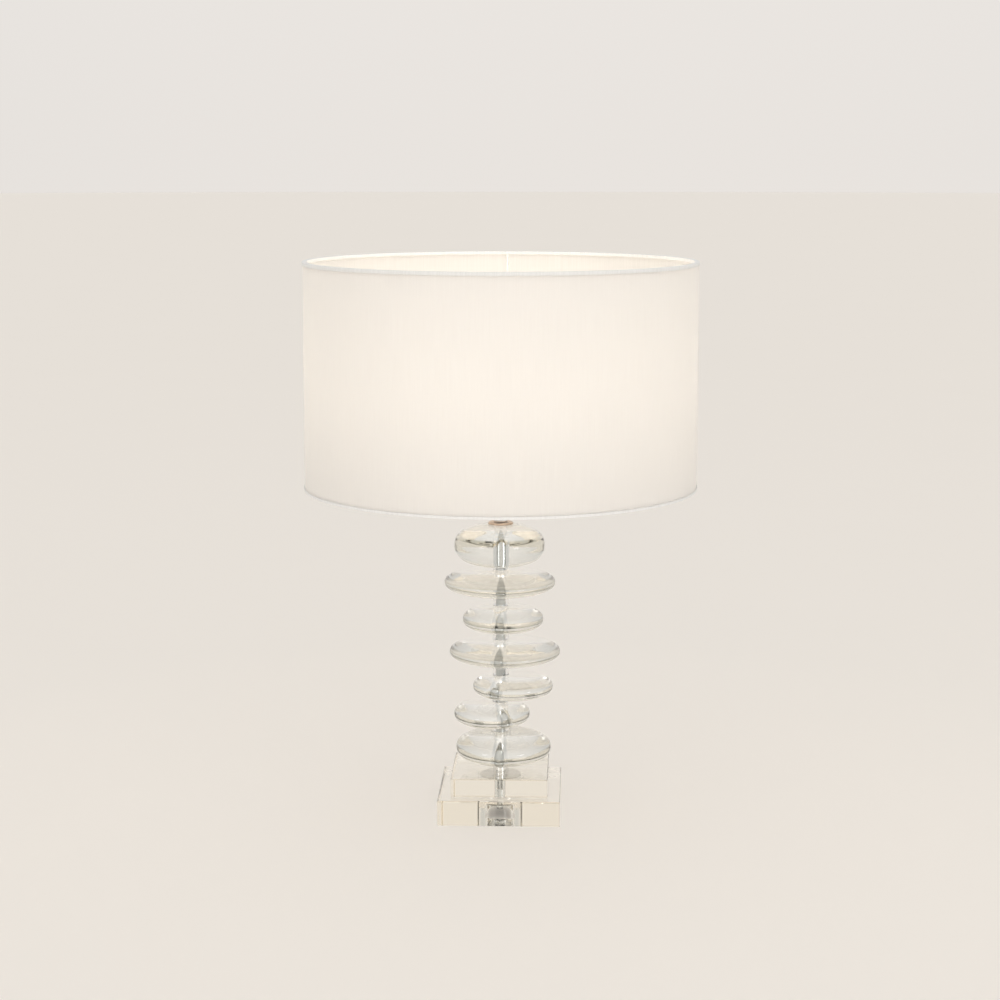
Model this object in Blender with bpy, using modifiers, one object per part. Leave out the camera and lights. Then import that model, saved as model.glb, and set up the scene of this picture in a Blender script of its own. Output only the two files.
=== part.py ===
"""Table lamp: seven crystal pebbles on a stepped crystal base, under a drum shade on a harp.

Metres, +Z up. The origin is on the table under the centre of the base, and the front faces -Y.
The whole stack is clamped on one hollow threaded tube: nut and washer in the base's recess,
base blocks, clear spacers and pebbles, top cap, neck, harp saddle and socket cap.
"""

import math
from collections import namedtuple

import bmesh
import bpy
from mathutils import Matrix, Vector

# ------------------------------------------------------------------ clearances
SEAT_GAP = 0.0003        # between neighbours that rest on each other
RUNNING_GAP = 0.0004     # radial, between pieces that turn or slide on each other
BORE_GAP = 0.0007        # radial, between the tube and the crystal drilled for it

# ------------------------------------------------------------------ base
FOOT_RADIUS = 0.0050
FOOT_THICKNESS = 0.0010
FOOT_INSET = 0.0100      # from the block's sides to a foot's centre
LOWER_BLOCK_WIDTH = 0.1250
LOWER_BLOCK_HEIGHT = 0.0260
UPPER_BLOCK_WIDTH = 0.0990
UPPER_BLOCK_HEIGHT = 0.0186
BLOCK_BEVEL = 0.0006
RECESS_RADIUS = 0.0240
RECESS_DEPTH = 0.0150

# ------------------------------------------------------------------ cord outlet, in the back of the base
OUTLET_BORE_RADIUS = 0.0050
OUTLET_HEIGHT = 0.0075   # from the block's underside to the outlet's axis
BUSH_WALL = 0.0011
BUSH_LIP = 0.0016        # how far the bush's flange stands out past the bore
BUSH_FLANGE_THICKNESS = 0.0014

# ------------------------------------------------------------------ tube and the clamp under the base
TUBE_RADIUS = 0.0050
TUBE_BORE_RADIUS = 0.0038
TUBE_BELOW_NUT = 0.0032  # length of tube that stands out of the nut
TUBE_IN_SOCKET = 0.0090  # length of tube that stands in the socket cap
WASHER_CLEARANCE = 0.0020  # between the washer and the recess's wall
WASHER_THICKNESS = 0.0012
RUBBER_WASHER_INSET = 0.0010
RUBBER_WASHER_THICKNESS = 0.0008
NUT_ACROSS_FLATS = 0.0170
NUT_THICKNESS = 0.0050

# ------------------------------------------------------------------ pebbles
SPACER_RADIUS = 0.0080
SEAT_MARGIN = 0.0005     # the ground seat around a pebble's bore is this much wider than the spacer
Pebble = namedtuple("Pebble", "radius half_height squareness offset lift")
PEBBLES = (              # from the base up; offset is along +X, lift is the air below the pebble
    Pebble(0.0491, 0.0162, 2.4, 0.0030, 0.0056),
    Pebble(0.0392, 0.0128, 2.4, -0.0090, 0.0062),
    Pebble(0.0413, 0.0120, 2.4, 0.0127, 0.0045),
    Pebble(0.0571, 0.0121, 2.3, 0.0044, 0.0129),
    Pebble(0.0417, 0.0140, 2.3, 0.0024, 0.0079),
    Pebble(0.0572, 0.0128, 2.3, -0.0008, 0.0118),
    Pebble(0.0464, 0.0218, 2.5, -0.0012, 0.0039),
)

# ------------------------------------------------------------------ cap and neck above the pebbles
CAP_RADIUS = 0.0130
CAP_THICKNESS = 0.0024
NECK_RADIUS = 0.0075
NECK_HEIGHT = 0.0336

# ------------------------------------------------------------------ harp
HARP_ANGLE = math.radians(45.0)   # of the harp's plane, from +X
HARP_HEIGHT = 0.2032              # 8 inches, from the saddle to the top of the harp
HARP_WIRE_RADIUS = 0.0018
HARP_FOOT_SPREAD = 0.0290         # from the axis to a leg at the saddle
HARP_WAIST_SPREAD = 0.0540        # from the axis to a leg at its widest
HARP_WAIST_HEIGHT = 0.1150        # of the widest place, above the saddle
HARP_LEG = 0.0400                 # straight length at the bottom of each leg
HARP_EYE_RADIUS = 0.0085
HARP_EYE_THICKNESS = 0.0024
SADDLE_THICKNESS = 0.0016
SADDLE_RIM = 0.0006               # metal left on each side of the tube's hole
SADDLE_POST = 0.0090              # height of the posts that the harp's feet stand on
SLEEVE_WALL = 0.0011
SLEEVE_LENGTH = 0.0160
STUD_RADIUS = 0.0030
STUD_SHOULDER_RADIUS = 0.0060
STUD_SHOULDER = 0.0022            # height of the shoulder that carries the shade
STUD_LENGTH = 0.0120              # above the shoulder

# ------------------------------------------------------------------ socket
SOCKET_WALL = 0.0006
SOCKET_HEIGHT = 0.0600            # from the saddle to the shell's rim
SOCKET_CAP_HEIGHT = 0.0200
SOCKET_CAP_FOOT = 0.0105          # radius of the cap's flat foot
SOCKET_CAP_DOME = 0.0085          # height at which the cap is full width
SOCKET_LINER_WALL = 0.0008
CORE_HEIGHT = 0.0275
CORE_BORE_RADIUS = 0.0026
SCREW_SHELL_WALL = 0.0004
CONTACT_RADIUS = 0.0042
CONTACT_THICKNESS = 0.0012
SWITCH_HEIGHT = 0.0235            # of the switch's axis, above the saddle
SWITCH_ANGLE = HARP_ANGLE - math.radians(90.0)
SPINDLE_RADIUS = 0.0020
SPINDLE_DEPTH = 0.0050            # how far the spindle reaches into the core
SPINDLE_REACH = 0.0075            # from the shell to the knob
KNOB_RADIUS = 0.0056
KNOB_LENGTH = 0.0095

# ------------------------------------------------------------------ bulb
BULB_CAP_RADIUS = 0.0130
BULB_CAP_HEIGHT = 0.0240
BULB_CAP_WALL = 0.0004
BULB_TIP_HEIGHT = 0.0040          # of the insulator and contact below the cap
BULB_LENGTH = 0.1080
BULB_RADIUS = 0.0300
BULB_JOINT_HEIGHT = 0.0600        # from the contact to where the globe sits on the housing
BULB_BELLY_HEIGHT = 0.0760        # from the contact to the globe's widest place
BULB_WALL = 0.0012
LED_BOARD_RADIUS = 0.0230
LED_BOARD_THICKNESS = 0.0016

# ------------------------------------------------------------------ shade
SHADE_RADIUS = 0.2000
SHADE_HEIGHT = 0.2315
SHADE_RECESS = 0.0260             # from the shade's top edge down to the top of the spider's hub
FABRIC_WALL = 0.0006
LINER_WALL = 0.0006
TRIM_WALL = 0.0005
TOP_TRIM_HEIGHT = 0.0036
BOTTOM_TRIM_HEIGHT = 0.0028
RING_WIRE_RADIUS = 0.0013
SPIDER_WIRE_RADIUS = 0.0014
SPIDER_HUB_RADIUS = 0.0110
SPIDER_HUB_THICKNESS = 0.0020
SPIDER_ARMS = 3
SPIDER_BEND = 0.0080              # radius of the arm's turn up to the ring
FINIAL_RADIUS = 0.0070
FINIAL_HEIGHT = 0.0135

# ------------------------------------------------------------------ fineness of the round pieces
PEBBLE_STEPS = 24
PEBBLE_RINGS = 5
SHADE_STEPS = 48
SMALL_STEPS = 16
SHARP_ANGLE = math.radians(35.0)


# ------------------------------------------------------------------ heights that follow from the sizes
def rim_height(pebble, distance):
    """Height of a pebble's surface over its middle plane, at a distance from its own centre."""
    share = 1.0 - (distance / pebble.radius) ** pebble.squareness
    return pebble.half_height * share ** (1.0 / pebble.squareness)


def seat_height(pebble):
    """Height of the ground seat around the bore, over the pebble's middle plane."""
    return rim_height(pebble, abs(pebble.offset) + SPACER_RADIUS + SEAT_MARGIN)


LOWER_BOTTOM = FOOT_THICKNESS + SEAT_GAP
LOWER_TOP = LOWER_BOTTOM + LOWER_BLOCK_HEIGHT
UPPER_BOTTOM = LOWER_TOP + SEAT_GAP
UPPER_TOP = UPPER_BOTTOM + UPPER_BLOCK_HEIGHT
RECESS_CEILING = LOWER_BOTTOM + RECESS_DEPTH
RUBBER_TOP = RECESS_CEILING - SEAT_GAP
WASHER_TOP = RUBBER_TOP - RUBBER_WASHER_THICKNESS - SEAT_GAP
NUT_TOP = WASHER_TOP - WASHER_THICKNESS - SEAT_GAP
TUBE_BOTTOM = NUT_TOP - NUT_THICKNESS - TUBE_BELOW_NUT
WASHER_RADIUS = RECESS_RADIUS - WASHER_CLEARANCE


def pebble_centres():
    """Middle height of each pebble, stacked up from the base."""
    centres = []
    surface = UPPER_TOP
    for pebble in PEBBLES:
        centres.append(surface + pebble.lift + pebble.half_height)
        surface = centres[-1] + pebble.half_height
    return centres


PEBBLE_CENTRES = pebble_centres()
CAP_BOTTOM = PEBBLE_CENTRES[-1] + seat_height(PEBBLES[-1]) + SEAT_GAP
NECK_BOTTOM = CAP_BOTTOM + CAP_THICKNESS + SEAT_GAP
SADDLE_BOTTOM = NECK_BOTTOM + NECK_HEIGHT + SEAT_GAP
SADDLE_TOP = SADDLE_BOTTOM + SADDLE_THICKNESS
SOCKET_BOTTOM = SADDLE_TOP + SEAT_GAP
TUBE_TOP = SOCKET_BOTTOM + TUBE_IN_SOCKET
HARP_TOP = SADDLE_BOTTOM + HARP_HEIGHT
SHOULDER_TOP = HARP_TOP + STUD_SHOULDER
HUB_BOTTOM = SHOULDER_TOP + SEAT_GAP
HUB_TOP = HUB_BOTTOM + SPIDER_HUB_THICKNESS
SHADE_TOP = HUB_TOP + SHADE_RECESS
SHADE_BOTTOM = SHADE_TOP - SHADE_HEIGHT
CORE_BOTTOM = TUBE_TOP + SEAT_GAP
CORE_TOP = CORE_BOTTOM + CORE_HEIGHT
CONTACT_TOP = CORE_TOP + SEAT_GAP + CONTACT_THICKNESS
BULB_BOTTOM = CONTACT_TOP + SEAT_GAP
SCREW_SHELL_BORE = BULB_CAP_RADIUS + RUNNING_GAP
CORE_RADIUS = SCREW_SHELL_BORE + SCREW_SHELL_WALL
SOCKET_LINER_BORE = CORE_RADIUS + SEAT_GAP
SOCKET_LINER_RADIUS = SOCKET_LINER_BORE + SOCKET_LINER_WALL
SOCKET_RADIUS = SOCKET_LINER_RADIUS + SEAT_GAP + SOCKET_WALL
SADDLE_WIDTH = 2.0 * (TUBE_RADIUS + RUNNING_GAP + SADDLE_RIM)
LINER_RADIUS = SHADE_RADIUS - FABRIC_WALL - SEAT_GAP
RING_RADIUS = LINER_RADIUS - LINER_WALL - SEAT_GAP - RING_WIRE_RADIUS


# ------------------------------------------------------------------ scene, materials and shape helpers
def clear_scene():
    """Empties the file, so that the model is all it holds."""
    for item in list(bpy.data.objects):
        bpy.data.objects.remove(item, do_unlink=True)


def new_collection(name):
    """A collection under the scene's own."""
    collection = bpy.data.collections.new(name)
    bpy.context.scene.collection.children.link(collection)
    return collection


def new_material(name, colour, roughness, metallic=0.0, transmission=0.0, glow=0.0):
    """A Principled material."""
    material = bpy.data.materials.new(name)
    material.use_nodes = True
    shader = material.node_tree.nodes["Principled BSDF"]
    shader.inputs["Base Color"].default_value = (*colour, 1.0)
    shader.inputs["Roughness"].default_value = roughness
    shader.inputs["Metallic"].default_value = metallic
    shader.inputs["Transmission Weight"].default_value = transmission
    shader.inputs["Emission Color"].default_value = (*colour, 1.0)
    shader.inputs["Emission Strength"].default_value = glow
    return material


clear_scene()
PARTS = new_collection("table_lamp")
CUTTERS = new_collection("table_lamp_cutters")

CRYSTAL = new_material("crystal", (0.95, 0.97, 0.96), 0.02, transmission=1.0)
CLEAR_PLASTIC = new_material("clear_plastic", (0.93, 0.94, 0.93), 0.10, transmission=0.9)
CHROME = new_material("chrome", (0.80, 0.80, 0.82), 0.07, metallic=1.0)
STEEL = new_material("zinc_plated_steel", (0.62, 0.62, 0.60), 0.30, metallic=1.0)
BRASS = new_material("brass", (0.80, 0.62, 0.30), 0.25, metallic=1.0)
RUBBER = new_material("rubber", (0.05, 0.05, 0.05), 0.80)
BLACK_PLASTIC = new_material("black_plastic", (0.03, 0.03, 0.03), 0.40)
CARD = new_material("insulating_card", (0.20, 0.17, 0.13), 0.85)
WHITE_STEEL = new_material("white_painted_steel", (0.86, 0.86, 0.84), 0.40)
SHADE_FABRIC = new_material("shade_fabric", (0.93, 0.90, 0.85), 0.90)
SHADE_LINING = new_material("shade_lining", (0.95, 0.93, 0.88), 0.55)
TRIM_FABRIC = new_material("trim_fabric", (0.84, 0.84, 0.82), 0.90)
WHITE_PLASTIC = new_material("white_plastic", (0.88, 0.88, 0.86), 0.35)
OPAL = new_material("opal_globe", (1.00, 0.90, 0.76), 0.35, glow=4.0)


def add_object(name, mesh, material, collection=None):
    """An object in the lamp's collection, smooth on round faces and sharp at corners."""
    mesh.shade_smooth()
    mesh.set_sharp_from_angle(angle=SHARP_ANGLE)
    item = bpy.data.objects.new(name, mesh)
    (collection or PARTS).objects.link(item)
    if material:
        mesh.materials.clear()
        mesh.materials.append(material)
    return item


def evaluated_mesh(item):
    """The mesh that an object's curve or modifiers make, welded."""
    bpy.context.view_layer.update()
    graph = bpy.context.evaluated_depsgraph_get()
    mesh = bpy.data.meshes.new_from_object(item.evaluated_get(graph))
    shape = bmesh.new()
    shape.from_mesh(mesh)
    bmesh.ops.remove_doubles(shape, verts=shape.verts, dist=1e-6)
    shape.to_mesh(mesh)
    shape.free()
    return mesh


def turned(name, profile, material, steps=SMALL_STEPS, closed=True, collection=None):
    """A turned solid about Z. The (radius, height) points run down the outer side and back up the inner."""
    count = len(profile)
    edges = [(index, index + 1) for index in range(count - 1)]
    if closed:
        edges.append((count - 1, 0))
    outline = bpy.data.meshes.new(name + "_outline")
    outline.from_pydata([(radius, 0.0, height) for radius, height in profile], edges, [])
    guide = bpy.data.objects.new(name + "_outline", outline)
    CUTTERS.objects.link(guide)
    screw = guide.modifiers.new("Turn", "SCREW")
    screw.axis = "Z"
    screw.steps = steps
    screw.render_steps = steps
    screw.use_merge_vertices = True
    screw.merge_threshold = 0.00001
    mesh = evaluated_mesh(guide)
    bpy.data.objects.remove(guide)
    bpy.data.meshes.remove(outline)
    mesh.name = name
    return add_object(name, mesh, material, collection)


def ring(name, outer, inner, bottom, top, material, steps=SMALL_STEPS):
    """A plain tube or washer about Z."""
    profile = [(outer, top), (outer, bottom), (inner, bottom), (inner, top)]
    return turned(name, profile, material, steps)


def rod(name, radius, bottom, top, material, steps=SMALL_STEPS, collection=None):
    """A plain solid cylinder about Z."""
    shape = bmesh.new()
    bmesh.ops.create_cone(
        shape, cap_ends=True, segments=steps, radius1=radius, radius2=radius, depth=top - bottom,
        matrix=Matrix.Translation((0.0, 0.0, (bottom + top) / 2.0)),
    )
    mesh = bpy.data.meshes.new(name)
    shape.to_mesh(mesh)
    shape.free()
    return add_object(name, mesh, material, collection)


def box(name, size, centre, material, collection=None):
    """A box from its sizes and its centre."""
    shape = bmesh.new()
    place = Matrix.Translation(centre) @ Matrix.Diagonal((*size, 1.0))
    bmesh.ops.create_cube(shape, size=1.0, matrix=place)
    mesh = bpy.data.meshes.new(name)
    shape.to_mesh(mesh)
    shape.free()
    return add_object(name, mesh, material, collection)


def wire(name, points, radius, material, resolution=5, collection=None):
    """A round wire along Bezier points, each given as (left handle, point, right handle)."""
    path = bpy.data.curves.new(name + "_path", "CURVE")
    path.dimensions = "3D"
    path.bevel_depth = radius
    path.bevel_resolution = 2
    path.use_fill_caps = True
    spline = path.splines.new("BEZIER")
    spline.bezier_points.add(len(points) - 1)
    spline.resolution_u = resolution
    for knot, (left, place, right) in zip(spline.bezier_points, points):
        knot.handle_left_type = "FREE"
        knot.handle_right_type = "FREE"
        knot.co = place
        knot.handle_left = left
        knot.handle_right = right
    guide = bpy.data.objects.new(name + "_path", path)
    CUTTERS.objects.link(guide)
    mesh = evaluated_mesh(guide)
    bpy.data.objects.remove(guide)
    bpy.data.curves.remove(path)
    mesh.name = name
    return add_object(name, mesh, material, collection)


def combine(item, other, operation):
    """Cuts the other object from this one, or joins it on, and files it as a cutter."""
    tool = item.modifiers.new(other.name, "BOOLEAN")
    tool.operation = operation
    tool.solver = "EXACT"
    tool.object = other
    other.hide_render = True
    other.display_type = "WIRE"


def turn_about_z(item, angle):
    """Turns an object's mesh about the lamp's axis."""
    item.data.transform(Matrix.Rotation(angle, 4, "Z"))


# ------------------------------------------------------------------ base
def make_blocks():
    """The two crystal blocks, with the recess for the nut and the bores for tube and cord."""
    lower = box(
        "base_lower_block", (LOWER_BLOCK_WIDTH, LOWER_BLOCK_WIDTH, LOWER_BLOCK_HEIGHT),
        (0.0, 0.0, (LOWER_BOTTOM + LOWER_TOP) / 2.0), CRYSTAL,
    )
    upper = box(
        "base_upper_block", (UPPER_BLOCK_WIDTH, UPPER_BLOCK_WIDTH, UPPER_BLOCK_HEIGHT),
        (0.0, 0.0, (UPPER_BOTTOM + UPPER_TOP) / 2.0), CRYSTAL,
    )
    for block in (lower, upper):
        bevel = block.modifiers.new("Polished edges", "BEVEL")
        bevel.width = BLOCK_BEVEL
        bevel.segments = 1
    bore = rod(
        "base_bore_cutter", TUBE_RADIUS + BORE_GAP, LOWER_BOTTOM - RECESS_DEPTH,
        UPPER_TOP + RECESS_DEPTH, None, collection=CUTTERS,
    )
    recess = rod(
        "recess_cutter", RECESS_RADIUS, LOWER_BOTTOM - RECESS_DEPTH, RECESS_CEILING, None,
        steps=2 * SMALL_STEPS, collection=CUTTERS,
    )
    outlet = rod(
        "outlet_cutter", OUTLET_BORE_RADIUS, 0.0, LOWER_BLOCK_WIDTH, None, collection=CUTTERS,
    )
    outlet.data.transform(Matrix.Rotation(math.radians(-90.0), 4, "X"))
    outlet.location = (0.0, 0.0, LOWER_BOTTOM + OUTLET_HEIGHT)
    combine(lower, recess, "DIFFERENCE")
    combine(lower, bore, "DIFFERENCE")
    combine(lower, outlet, "DIFFERENCE")
    combine(upper, bore, "DIFFERENCE")


def make_feet():
    """Four clear pads under the corners."""
    reach = LOWER_BLOCK_WIDTH / 2.0 - FOOT_INSET
    corners = ((-1, -1), (1, -1), (1, 1), (-1, 1))
    for number, (side_x, side_y) in enumerate(corners, start=1):
        foot = rod(f"foot_pad_{number}", FOOT_RADIUS, 0.0, FOOT_THICKNESS, CLEAR_PLASTIC, steps=12)
        foot.location = (side_x * reach, side_y * reach, 0.0)


def make_cord_bush():
    """The flanged bush in the cord outlet, at the middle of the back."""
    barrel = OUTLET_BORE_RADIUS - SEAT_GAP
    hole = barrel - BUSH_WALL
    flange_back = SEAT_GAP + BUSH_FLANGE_THICKNESS
    inner_end = RECESS_RADIUS + SEAT_GAP - LOWER_BLOCK_WIDTH / 2.0
    flange = OUTLET_BORE_RADIUS + BUSH_LIP
    profile = [
        (flange, flange_back), (flange, SEAT_GAP), (barrel, SEAT_GAP),
        (barrel, inner_end), (hole, inner_end), (hole, flange_back),
    ]
    bush = turned("cord_bush", profile, CLEAR_PLASTIC)
    bush.data.transform(Matrix.Rotation(math.radians(-90.0), 4, "X"))
    bush.location = (0.0, LOWER_BLOCK_WIDTH / 2.0, LOWER_BOTTOM + OUTLET_HEIGHT)


def make_clamp():
    """The tube, and the washers and nut that pull it against the recess's ceiling."""
    clear = TUBE_RADIUS + SEAT_GAP
    ring("threaded_tube", TUBE_RADIUS, TUBE_BORE_RADIUS, TUBE_BOTTOM, TUBE_TOP, CHROME)
    ring(
        "base_rubber_washer", WASHER_RADIUS - RUBBER_WASHER_INSET, clear,
        RUBBER_TOP - RUBBER_WASHER_THICKNESS, RUBBER_TOP, RUBBER,
    )
    ring("base_washer", WASHER_RADIUS, clear, WASHER_TOP - WASHER_THICKNESS, WASHER_TOP, STEEL)
    corner_radius = NUT_ACROSS_FLATS / 2.0 / math.cos(math.pi / 6.0)
    nut = rod("base_nut", corner_radius, NUT_TOP - NUT_THICKNESS, NUT_TOP, STEEL, steps=6)
    thread = rod(
        "base_nut_cutter", clear, NUT_TOP - 2.0 * NUT_THICKNESS, NUT_TOP + NUT_THICKNESS, None,
        collection=CUTTERS,
    )
    combine(nut, thread, "DIFFERENCE")


# ------------------------------------------------------------------ pebbles
def pebble_profile(pebble):
    """A superellipse from the top pole, over the rim, to the bottom pole."""
    points = []
    power = 2.0 / pebble.squareness
    for index in range(2 * PEBBLE_RINGS + 1):
        turn = math.pi / 2.0 * (1.0 - index / PEBBLE_RINGS)
        radius = pebble.radius * max(math.cos(turn), 0.0) ** power
        height = pebble.half_height * math.copysign(abs(math.sin(turn)) ** power, turn)
        if abs(turn) < 1e-9:
            radius, height = pebble.radius, 0.0
        points.append((radius if 0 < index < 2 * PEBBLE_RINGS else 0.0, height))
    return points


def seat_cutter(name, bottom, top):
    """A drum that grinds the flat seat of a spacer."""
    return rod(name, SPACER_RADIUS + SEAT_MARGIN, bottom, top, None, collection=CUTTERS)


def make_pebble(number, pebble, centre):
    """One drilled crystal pebble. Its own centre stands off the tube's axis."""
    name = f"crystal_pebble_{number}"
    stone = turned(name, pebble_profile(pebble), CRYSTAL, PEBBLE_STEPS, closed=False)
    stone.data.transform(Matrix.Translation((pebble.offset, 0.0, 0.0)))
    stone.location = (0.0, 0.0, centre)
    reach = 2.0 * pebble.half_height
    seat = seat_height(pebble)
    cutters = (
        rod(
            name + "_bore_cutter", TUBE_RADIUS + BORE_GAP, -reach, reach, None,
            collection=CUTTERS,
        ),
        seat_cutter(name + "_top_seat_cutter", seat, reach),
        seat_cutter(name + "_bottom_seat_cutter", -reach, -seat),
    )
    for cutter in cutters:
        cutter.location = stone.location
        combine(stone, cutter, "DIFFERENCE")


def make_pebbles():
    """The pebbles, each on a clear spacer."""
    support = UPPER_TOP
    for number, (pebble, centre) in enumerate(zip(PEBBLES, PEBBLE_CENTRES), start=1):
        seat = seat_height(pebble)
        ring(
            f"clear_spacer_{number}", SPACER_RADIUS, TUBE_RADIUS + RUNNING_GAP,
            support + SEAT_GAP, centre - seat - SEAT_GAP, CLEAR_PLASTIC,
        )
        make_pebble(number, pebble, centre)
        support = centre + seat


# ------------------------------------------------------------------ cap, neck and harp
def make_neck():
    """The cap on the top pebble and the neck that hides the tube up to the saddle."""
    clear = TUBE_RADIUS + RUNNING_GAP
    edge = CAP_THICKNESS / 3.0
    profile = [
        (CAP_RADIUS - edge, CAP_BOTTOM + CAP_THICKNESS), (CAP_RADIUS, CAP_BOTTOM + CAP_THICKNESS - edge),
        (CAP_RADIUS, CAP_BOTTOM), (clear, CAP_BOTTOM), (clear, CAP_BOTTOM + CAP_THICKNESS),
    ]
    turned("top_cap", profile, CHROME)
    ring("neck_tube", NECK_RADIUS, clear, NECK_BOTTOM, NECK_BOTTOM + NECK_HEIGHT, CHROME)


def make_saddle():
    """The strip under the socket, with a post at each end for the harp's feet."""
    length = 2.0 * (HARP_FOOT_SPREAD + SADDLE_WIDTH / 2.0)
    saddle = box(
        "harp_saddle", (length, SADDLE_WIDTH, SADDLE_THICKNESS),
        (0.0, 0.0, SADDLE_BOTTOM + SADDLE_THICKNESS / 2.0), STEEL,
    )
    turn_about_z(saddle, HARP_ANGLE)
    hole = rod(
        "saddle_hole_cutter", TUBE_RADIUS + RUNNING_GAP, SADDLE_BOTTOM - SADDLE_THICKNESS,
        SADDLE_TOP + SADDLE_THICKNESS, None, collection=CUTTERS,
    )
    for side in (-1, 1):
        post = rod(
            f"saddle_post_{'left' if side < 0 else 'right'}", HARP_WIRE_RADIUS,
            SADDLE_BOTTOM + SADDLE_THICKNESS / 2.0, SADDLE_TOP + SADDLE_POST, None, steps=12,
            collection=CUTTERS,
        )
        post.location = in_harp_plane(side * HARP_FOOT_SPREAD, 0.0)
        combine(saddle, post, "UNION")
    combine(saddle, hole, "DIFFERENCE")


def in_harp_plane(spread, height):
    """A place in the harp's plane, from its distance off the axis and its height."""
    return Vector((spread * math.cos(HARP_ANGLE), spread * math.sin(HARP_ANGLE), height))


def make_harp():
    """The harp: one wire bowed round the bulb, with a flat eye at the top for the stud."""
    foot = SADDLE_TOP + SADDLE_POST + SEAT_GAP
    bend = foot + HARP_LEG
    waist = SADDLE_BOTTOM + HARP_WAIST_HEIGHT
    crown = HARP_TOP - HARP_EYE_THICKNESS / 2.0
    ease = 0.45 * (waist - bend)
    roundness = 0.62
    side_knots = (
        (HARP_FOOT_SPREAD, foot, 0.0, 0.25 * HARP_LEG),
        (HARP_FOOT_SPREAD, bend, 0.0, ease),
        (HARP_WAIST_SPREAD, waist, 0.0, roundness * (crown - waist)),
        (HARP_EYE_RADIUS, crown, -0.3 * HARP_EYE_RADIUS, 0.0),
    )
    before = (
        (0.0, -0.25 * HARP_LEG), (0.0, -0.25 * HARP_LEG), (0.0, -ease),
        (roundness * (HARP_WAIST_SPREAD - HARP_EYE_RADIUS), 0.0),
    )
    right = []
    left = []
    for (spread, height, out_x, out_z), (in_x, in_z) in zip(side_knots, before):
        arrive = (spread + in_x, height + in_z)
        leave = (spread + out_x, height + out_z)
        here = in_harp_plane(spread, height)
        right.append((in_harp_plane(*arrive), here, in_harp_plane(*leave)))
        mirrored = [in_harp_plane(-reach, level) for reach, level in (leave, (spread, height), arrive)]
        left.append(tuple(mirrored))
    harp = wire("harp_wire", right + left[::-1], HARP_WIRE_RADIUS, CHROME)
    eye = rod(
        "harp_eye", HARP_EYE_RADIUS, HARP_TOP - HARP_EYE_THICKNESS, HARP_TOP, None,
        collection=CUTTERS,
    )
    hole = rod(
        "harp_eye_cutter", STUD_RADIUS + RUNNING_GAP, HARP_TOP - 4.0 * HARP_EYE_THICKNESS,
        HARP_TOP + 4.0 * HARP_EYE_THICKNESS, None, collection=CUTTERS,
    )
    face = box(
        "harp_face_cutter", (2.0 * HARP_EYE_RADIUS, 2.0 * HARP_EYE_RADIUS, HARP_WIRE_RADIUS),
        (0.0, 0.0, HARP_TOP + HARP_WIRE_RADIUS / 2.0), None, CUTTERS,
    )
    under_face = box(
        "harp_under_face_cutter", (2.0 * HARP_EYE_RADIUS, 2.0 * HARP_EYE_RADIUS, HARP_WIRE_RADIUS),
        (0.0, 0.0, HARP_TOP - HARP_EYE_THICKNESS - HARP_WIRE_RADIUS / 2.0), None, CUTTERS,
    )
    combine(harp, eye, "UNION")
    combine(harp, face, "DIFFERENCE")
    combine(harp, under_face, "DIFFERENCE")
    combine(harp, hole, "DIFFERENCE")


def make_harp_sleeves():
    """The two sleeves that slide down over the joints between posts and harp."""
    inner = HARP_WIRE_RADIUS + RUNNING_GAP
    bottom = SADDLE_TOP + SEAT_GAP
    for number, side in ((1, -1), (2, 1)):
        sleeve = ring(
            f"harp_sleeve_{number}", inner + SLEEVE_WALL, inner, 0.0, SLEEVE_LENGTH, CHROME, steps=16,
        )
        sleeve.location = in_harp_plane(side * HARP_FOOT_SPREAD, bottom)


def make_harp_stud():
    """The stud riveted in the harp's eye: head below, shoulder above, thread for the finial."""
    head = STUD_SHOULDER_RADIUS - 0.001
    under = HARP_TOP - HARP_EYE_THICKNESS - SEAT_GAP
    profile = [
        (0.0, SHOULDER_TOP + STUD_LENGTH), (STUD_RADIUS, SHOULDER_TOP + STUD_LENGTH),
        (STUD_RADIUS, SHOULDER_TOP), (STUD_SHOULDER_RADIUS, SHOULDER_TOP),
        (STUD_SHOULDER_RADIUS, HARP_TOP + SEAT_GAP), (STUD_RADIUS, HARP_TOP + SEAT_GAP),
        (STUD_RADIUS, under), (head, under), (head, under - STUD_RADIUS / 2.0),
        (0.0, under - STUD_RADIUS / 2.0),
    ]
    turned("harp_stud", profile, STEEL, closed=False)


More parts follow.
